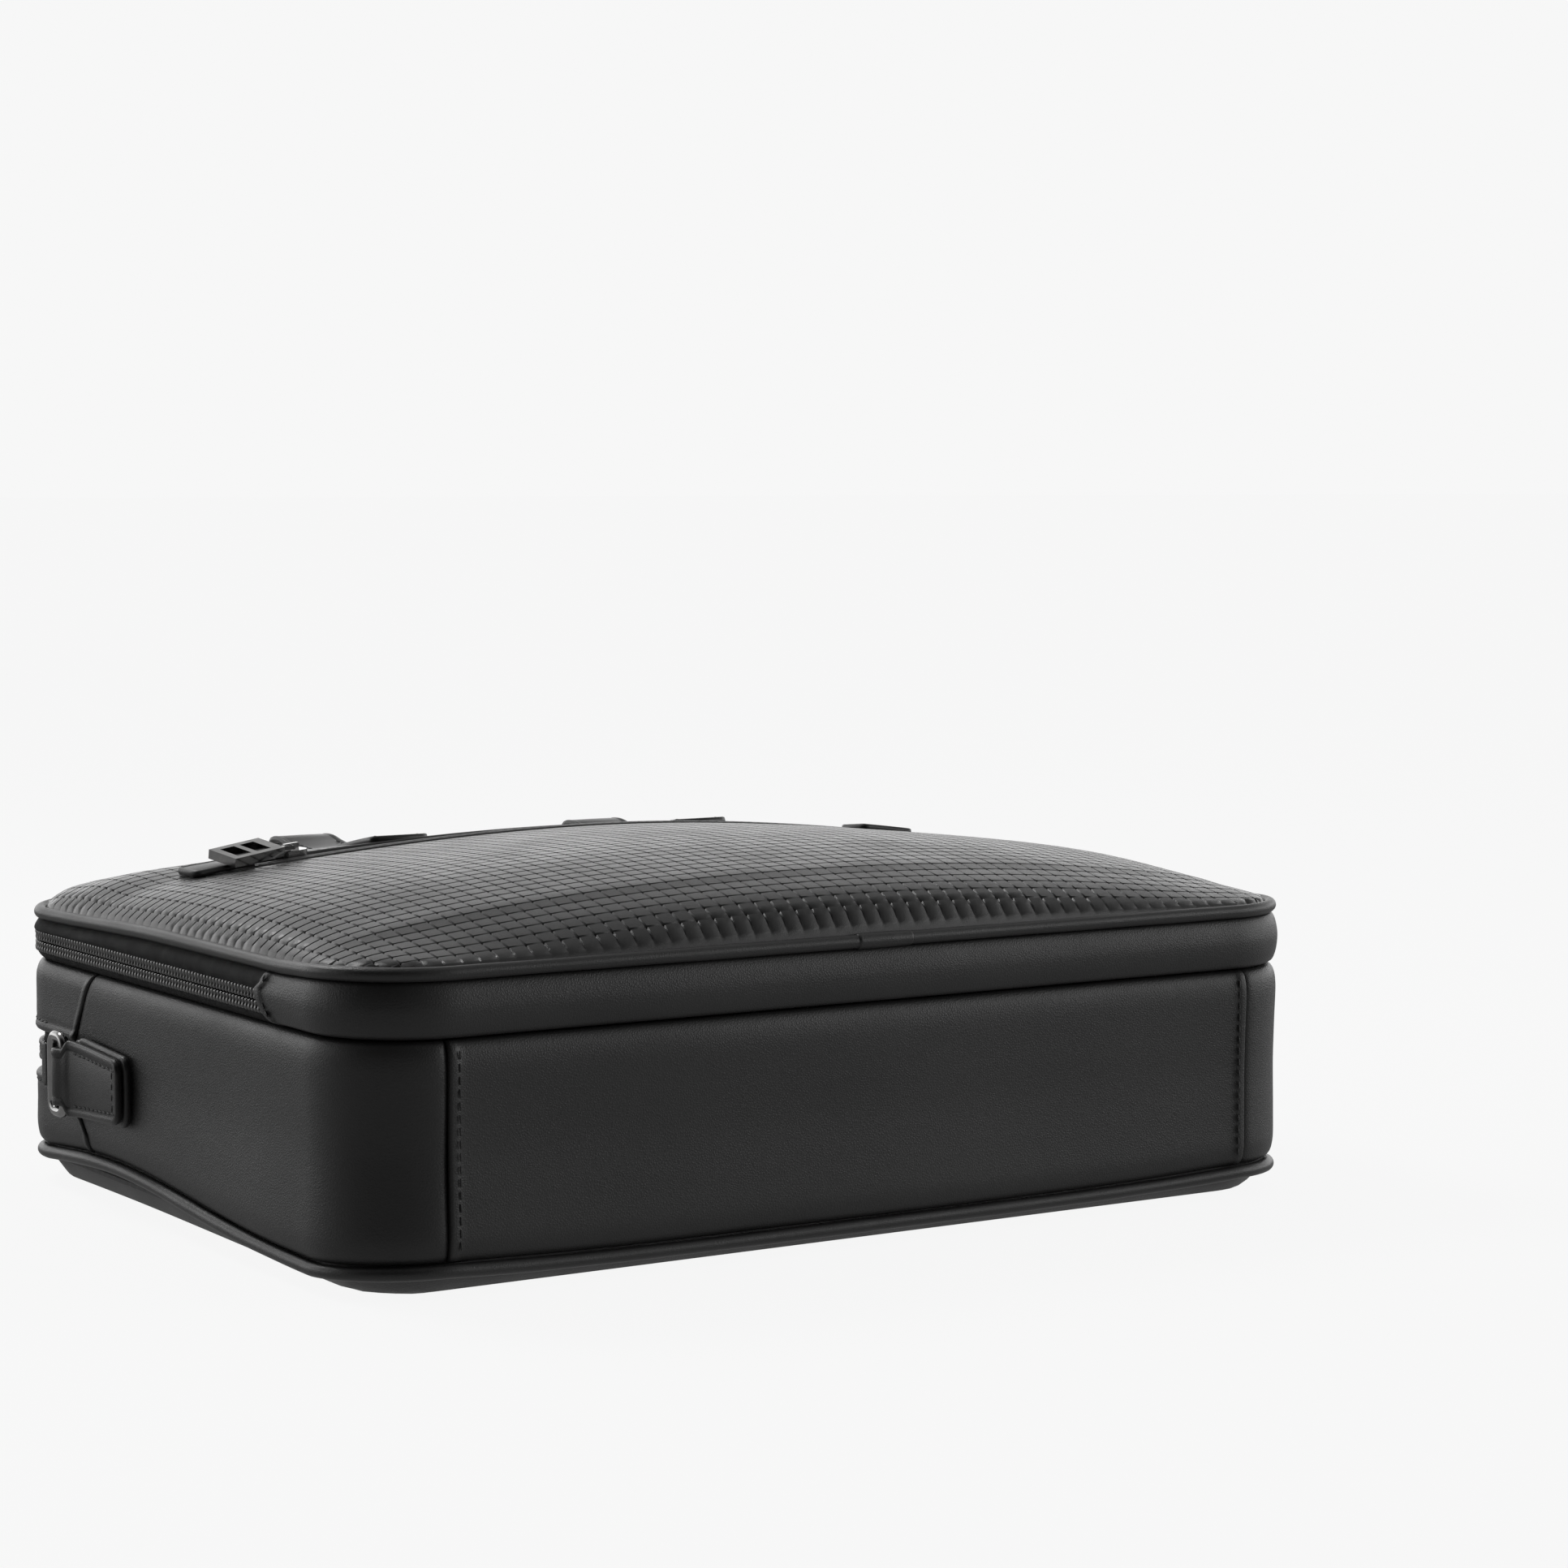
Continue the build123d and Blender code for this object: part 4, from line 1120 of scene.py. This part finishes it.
def handle(name, pivot, down):
    """A carrying handle hanging from its rings. Down is the direction that it hangs in."""
    down = np.array(down, float)
    across = np.array([1.0, 0, 0])
    over = np.cross(across, down)
    plan = resample(rounded_rectangle(RING_WIDTH, RING_DROP, 3.2, 8), 72, closed=True)
    turn = [(RING_DROP - x, -y) for x, y in arc((0, 0), END_R, 62, -62, 11)]
    end_line = smooth_curve([(RING_DROP + END_LENGTH, -1.5), *turn, (RING_DROP + END_LENGTH, 1.5)], 60)
    end_tangent = along(end_line)
    end_normals = -end_tangent[:, 1:] * down + end_tangent[:, :1] * over
    rings, ends = [], []
    for x in (-STRAP_X, STRAP_X):
        top = np.array([x, pivot[1], pivot[2]])
        path = top + plan[:, :1] * across + (RING_DROP / 2 - plan[:, 1:]) * down
        rings.append(tube(path, BAR_R, over, 14, closed=True))
        path = top + end_line[:, :1] * down + end_line[:, 1:] * over
        ends.append(ribbon(path, end_normals, 18.0, 2.5, 2.2, 1.6))
    line = grip_line(150)
    path = np.array([0, pivot[1], pivot[2]]) + line[:, :1] * across + line[:, 1:] * down
    reach = np.minimum(np.arange(150), np.arange(150)[::-1]) / 150
    radius = GRIP_END_R + (GRIP_R - GRIP_END_R) * smoothstep(reach, 0.02, 0.1)
    seam = path[12:-12] - over * (GRIP_R - 0.1)
    make(f"{name}_rings_wire", merge(rings), NICKEL, name, [f"{name}_rings"])
    make(f"{name}_ends_leather", merge(ends), PAINTED, name, [f"{name}_ends"])
    make(f"{name}_grip_roll", tube(path, radius, over, 22), PAINTED, name, [f"{name}_grip"])
    stitches = stitch_row(seam, np.broadcast_to(-over, seam.shape), 4.4)
    make(f"{name}_stitching", stitches, THREAD, name)


handle("front_handle", FRONT_PIVOT, (0, 0, -1))
handle("rear_handle", REAR_PIVOT, (0, 1, 0))

# ---- shoulder strap tabs and their rings ----------------------------------------------------------
WIRE_R = 2.0
RING_X, RING_Y, RING_Z = joint_place("strap_ring_right_swing")
RING_X = abs(RING_X)
TAB_LOW = span("strap_tab_left", Y)[0]
TAB_HIGH = RING_Y - 6.0
RING_LOW_Y, RING_HIGH_Y = span("strap_ring_left", Y)
RING_LOW_Z, RING_HIGH_Z = span("strap_ring_left", Z)


def tab_half(y):
    return np.interp(y, [TAB_LOW, TAB_HIGH], [11.8, 14.2])


def tab_layer(points, count, width, thickness, crease, corner):
    """A tab layer on the right-hand side, from points of (Y, distance out from the wall)."""
    line = smooth_curve(points, count)
    tangent = along(line)
    path = np.column_stack([HALF_X + line[:, 1], line[:, 0], np.full(count, RING_Z)])
    normals = np.column_stack([tangent[:, 0], -tangent[:, 1], np.zeros(count)])
    return path, normals, ribbon(path, normals, width(line[:, 0]), thickness, crease, corner)


def loop_width(y):
    share = smoothstep(y, TAB_HIGH - 0.5, TAB_HIGH + 2.5)
    return (1 - share) * 2 * tab_half(y) + share * 21.4


upper_points = [(TAB_LOW + 0.6, 4.3), (TAB_LOW + 14, 4.5)]
upper_points += [(TAB_HIGH - 14, 4.6), (TAB_HIGH - 3, 5.4), (TAB_HIGH + 1, 7.0)]
upper_points += arc((RING_Y, RING_X - HALF_X), 3.5, 115, -115, 10)
upper_points += [(TAB_HIGH - 1, 1.9), (TAB_HIGH - 5, 1.7)]
under_points = [(TAB_LOW - 1.0, 1.5), (TAB_LOW + 14, 1.6), (TAB_HIGH - 14, 1.6), (TAB_HIGH, 1.5)]
top_path, top_normals, top_layer = tab_layer(upper_points, 110, loop_width, 2.7, 3.2, 4.5)
_, _, under_layer = tab_layer(under_points, 50, lambda y: 2 * tab_half(y) + 2.4, 2.4, 0.0, 4.5)
tab_solid = merge([top_layer, under_layer])
straight = (top_path[:, 1] < TAB_HIGH - 1.5) & (np.arange(len(top_path)) < 60)
tab_rows = []
for edge in (-1, 1):
    inward = tab_half(top_path[straight, 1]) - 4.1
    row = top_path[straight] + top_normals[straight] * 1.3
    row[:, 2] += edge * inward
    tab_rows.append(stitch_row(row[2:], top_normals[straight][2:], 3.6))
end_row = np.array([(HALF_X + 5.55, TAB_LOW + 4.4, RING_Z + z) for z in np.linspace(-8, 8, 12)])
tab_rows.append(stitch_row(end_row, np.broadcast_to((1.0, 0, 0), end_row.shape), 3.6))
tab_thread = merge(tab_rows)

ring_reach = RING_HIGH_Y - RING_LOW_Y - 2 * WIRE_R
ring_tall = RING_HIGH_Z - RING_LOW_Z - 2 * WIRE_R
ring_plan = resample(rounded_rectangle(ring_reach, ring_tall, 4.0, 8), 80, closed=True)
ring_middle = RING_Y + ring_reach / 2
ring_path = np.column_stack([np.full(80, RING_X), ring_middle + ring_plan[:, 0], RING_Z + ring_plan[:, 1]])
ring_solid = tube(ring_path, WIRE_R, (1, 0, 0), 16, closed=True)


def mirrored(solid, sign):
    return solid[0] * [sign, 1, 1], solid[1]


case_stitches = []
for side, sign in (("left", -1), ("right", 1)):
    tab, ring = f"strap_tab_{side}", f"strap_ring_{side}"
    make(f"{tab}_leather", mirrored(tab_solid, sign), PAINTED, "case", [tab])
    make(f"{ring}_wire", mirrored(ring_solid, sign), NICKEL, ring, [ring])
    case_stitches.append(mirrored(tab_thread, sign))

# ---- stitching ----------------------------------------------------------------------------------
seam_z = np.linspace(13.5, 82.5, 40)
fold_z = np.linspace(88, 102.5, 12)
for side in (-1, 1):
    path, normals = on_wall(np.full(40, base_run(side * (BASE_SEAM_X - 3.7))), seam_z, 0.35)
    case_stitches.append(stitch_row(path, normals))
    path, normals = on_wall(side * (fold_run(fold_z) - 4.3), fold_z, 0.75)
    path[:, 2] = fold_z
    case_stitches.append(stitch_row(path, normals, 3.4))


def lip_row(start, end, z):
    """Stitches beside the main zip."""
    runs = np.linspace(start, end, max(8, int((end - start) / 4)))
    path, normals = on_wall(runs, z, -0.35)
    return stitch_row(path, normals)


case_stitches.append(lip_row(MAIN_START + 1, MAIN_END - 1, LIP_HIGH + 4.2))
case_stitches += [lip_row(a + 1, b - 1, LIP_LOW - 4.2) for a, b in REAR_PARTS]
make("case_stitching", merge(case_stitches + rear_stitches), THREAD, "case")
flap_thread = lip_row(FLAP_RUNS[0] + 1, FLAP_RUNS[1] - 1, LIP_LOW - 4.2)
make("mouth_flap_stitching", flap_thread, THREAD, "mouth_flap")
lip_line = resample(lip_plan, 330, closed=True)
lip_tangent = along(lip_line, closed=True)
lip_places = lip_line + 0.9 * np.column_stack([lip_tangent[:, 1], -lip_tangent[:, 0]])
lip_points = dome_points(lip_places[:, 0], lip_places[:, 1], 0.45)
cover_stitches = strap_stitches + [stitch_row(lip_points, dome_normals(lip_points))]
make("cover_stitching", merge(cover_stitches), THREAD, "cover")

# ---- inside: lining, cloth-covered divider and padded laptop sleeve --------------------------------
lining_low, lining_high = span("main_lining", Z)
lining_outer = [(-3.5, lining_low), (-3.4, 30), (-3.5, 55), (-3.4, lining_high)]
lining_section = skin_profile(lining_outer, 3.0, 0.7)
lining_end = right_run(span("main_lining", Y)[1])


def lining_shape(run, z, before, after):
    return -0.25 - 0.25 * np.sin(run / 9 + z / 14) * np.sin(z / 12)


lining = band(-lining_end, lining_end, lining_section, lining_shape, step=4, still=True)
make("main_lining_cloth", lining, LINING, "case", ["main_lining"])


def covered_board(node, inset):
    """A flat board wrapped in cloth, with soft edges and a slightly uneven face."""
    low, high = span(node, Z)
    run = np.linspace(0, PERIMETER, 360, endpoint=False)
    section = [(33, low), (1.5, low), (0.4, low + 0.8), (0, (low + high) / 2)]
    section += [(0.4, high - 0.8), (1.5, high), (20, high - 0.25), (33, high)]
    rings = []
    for shrink, z in section:
        place, _ = outline(run, -inset - shrink)
        rings.append(np.column_stack([place, np.full(len(run), z)]))
    return loft(np.array(rings))


make("divider_cloth", covered_board("divider", 3.4), LINING, "case", ["divider"])

sleeve_x = span("laptop_sleeve", X)[1]
sleeve_y = span("laptop_sleeve", Y)
sleeve_z = span("laptop_sleeve", Z)
SLEEVE_PAD = 4.0


def sleeve_ring(y, inset):
    """Section of the sleeve at one height. Inset is measured in from its outer face."""
    width, depth = 2 * (sleeve_x - inset), sleeve_z[1] - sleeve_z[0] - 2 * inset
    plan = resample(rounded_rectangle(width, depth, min(6, depth / 2.2), 6), 200, closed=True)
    quilt = -0.35 * bell(np.mod(y + 200, 36), 18, 1.6)
    centre_z = sum(sleeve_z) / 2
    push = 1 + quilt / (depth / 2)
    return np.column_stack([plan[:, 0], np.full(200, y), centre_z + plan[:, 1] * push])


sleeve_rings = [sleeve_ring(sleeve_y[0], 3.5), sleeve_ring(sleeve_y[0] + 1.2, 1.2)]
sleeve_heights = np.linspace(sleeve_y[0] + 4, sleeve_y[1] - 2, 110)
sleeve_rings += [sleeve_ring(y, 0) for y in sleeve_heights]
mouth = sleeve_y[1]
sleeve_rings += [sleeve_ring(mouth - 0.4, 0.9), sleeve_ring(mouth, 2.0), sleeve_ring(mouth - 0.4, 3.2)]
sleeve_rings += [sleeve_ring(y, SLEEVE_PAD) for y in sleeve_heights[::-6]]
sleeve = make("laptop_sleeve_padded", loft(np.array(sleeve_rings)), FOAM, "case", ["laptop_sleeve"])

# ---- the pocket puller, leaning on the leather tab beneath it ---------------------------------------
def leaning_copy(node, pivot, start, turn, lean):
    """Vertices and faces of a CAD puller, its plate leant over about its own length and made thicker."""
    source = frame["nodes"][node].data
    points = np.array([v.co for v in source.vertices], float) / MM
    polygons = [list(face.vertices) for face in source.polygons]
    heading = np.array([-math.cos(turn), -math.sin(turn)])
    hinge = pivot[:2] + [-start, 0]
    across = (points[:, :2] - hinge) @ np.array([-heading[1], heading[0]])
    amount = smoothstep((points[:, :2] - hinge) @ heading, -0.6, 0.6) * lean
    level = pivot[2] - (points[:, 0] - pivot[0]) * pivot[0] / 1100
    over = (points[:, 2] - level) * (1 + 0.35 * amount / lean)
    side = across * np.cos(amount) + over * np.sin(amount) - across
    rise = over * np.cos(amount) - across * np.sin(amount)
    points[:, 0] += side * -heading[1]
    points[:, 1] += side * heading[0]
    points[:, 2] = level + rise + 1.2 * amount / lean
    return points, polygons


PULL_LINK, PULL_TURN, PULL_LEAN = 7.2, math.radians(18), math.radians(12)
pull_solid = leaning_copy("pocket_pull", joint_place("pocket_pull_tip"), PULL_LINK, PULL_TURN, PULL_LEAN)
pull_piece = make("pocket_pull_plate", pull_solid, NICKEL, "pocket_pull", ["pocket_pull"], 30)

# ---- carried-over hard pieces ---------------------------------------------------------------------
def worn_edges(part):
    bevel = part.modifiers.new("worn_edges", "BEVEL")
    bevel.width = 0.35 * MM
    bevel.segments = 3
    bevel.limit_method = "ANGLE"
    bevel.harden_normals = True


worn_edges(pull_piece)
for node, part in frame["nodes"].items():
    if part.hide_render:
        continue
    part.data.materials.clear()
    part.data.materials.append(NICKEL if "slider" in node or "pull" in node else BOARD)
    worn_edges(part)

# ---- ground, light and camera ---------------------------------------------------------------------
FLOOR_HALF = 60.0


def plain_floor(name, height, albedo, glow, seen):
    """A wide plain floor that glows a little, so that it stays as pale as in the photo.

    The camera sees one floor. The other one is only for light that the case catches from below.
    """
    mesh = bpy.data.meshes.new(name)
    corners = [(x * FLOOR_HALF, y * FLOOR_HALF, height) for x, y in ((-1, -1), (1, -1), (1, 1), (-1, 1))]
    mesh.from_pydata(corners, [], [(0, 1, 2, 3)])
    nodes = Nodes(bpy.data.materials.new(name + "_paint"))
    nodes.finish(grey(albedo), 0.9, None, Specular_IOR_Level=0.0, Emission_Strength=glow)
    nodes.shader.inputs["Emission Color"].default_value = (1, 1, 1, 1)
    floor = linked(name, mesh, nodes.material)
    floor.visible_camera = seen
    floor.visible_diffuse = not seen
    floor.visible_glossy = not seen
    floor.visible_shadow = False


plain_floor("floor_seen", -0.0002, 0.05, 0.905, True)
plain_floor("floor_bounce", -0.0004, 0.0, 0.28, False)

world = bpy.data.worlds.new("studio")
bpy.context.scene.world = world
studio = Nodes(world)
toward = studio.add("ShaderNodeTexCoord").outputs["Generated"]
axes = studio.add("ShaderNodeSeparateXYZ", {"Vector": toward}).outputs
turned = studio.math("MULTIPLY", studio.math("ADD", axes["X"], axes["Y"]), 0.707)
round_light = studio.add("ShaderNodeFloatCurve", {"Value": studio.ranged(turned, -1, 1, 0, 1)})
points = round_light.mapping.curves[0].points
points[0].location = (0.0, 0.02)
points[1].location = (1.0, 0.95)
for place, brightness in ((0.18, 0.05), (0.4, 0.62), (0.6, 0.85), (0.8, 0.95)):
    points.new(place, brightness)
round_light.mapping.update()
low_band = studio.math("MULTIPLY", studio.ranged(axes["Z"], 0.2, 0.5, 1.0, 0.0), 1.5)
lit = studio.math("MULTIPLY", round_light.outputs[0], studio.math("ADD", low_band, 0.42))
shown = studio.add("ShaderNodeLightPath").outputs["Is Camera Ray"]
unseen = studio.math("SUBTRACT", 1.0, shown)
level = studio.math("ADD", studio.math("MULTIPLY", shown, 0.93), studio.math("MULTIPLY", unseen, lit))
background = next(node for node in world.node_tree.nodes if node.type == "BACKGROUND")
studio.set(background.inputs["Strength"], level)
background.inputs["Color"].default_value = (1, 1, 1, 1)


def softbox(name, direction, distance, size, radiance):
    """A round area light that faces the case."""
    lamp = bpy.data.lights.new(name, "AREA")
    lamp.shape = "DISK"
    lamp.size = size
    lamp.energy = radiance * math.pi * math.pi * size**2 / 4
    holder = linked(name, lamp)
    away = Vector(direction).normalized()
    holder.location = away * distance + Vector((0, 0, 0.08))
    holder.rotation_euler = away.to_track_quat("Z", "Y").to_euler()


softbox("key", (-0.30, 0.60, 0.76), 1.6, 0.55, 12)
softbox("fill", (0.80, -0.60, 0.35), 1.8, 0.9, 1.5)

camera = linked("camera", bpy.data.cameras.new("camera"))
camera.location = (-0.7279, -1.2314, 0.2656)
camera.rotation_euler = (math.radians(90 - 4.57), 0, math.radians(-32.60))
camera.data.lens = 86.83
camera.data.sensor_width = 36
bpy.context.scene.camera = camera
bpy.context.scene.view_settings.view_transform = "Standard"

# ---- bring the scene up to date ---------------------------------------------------------------------
bpy.context.view_layer.update()
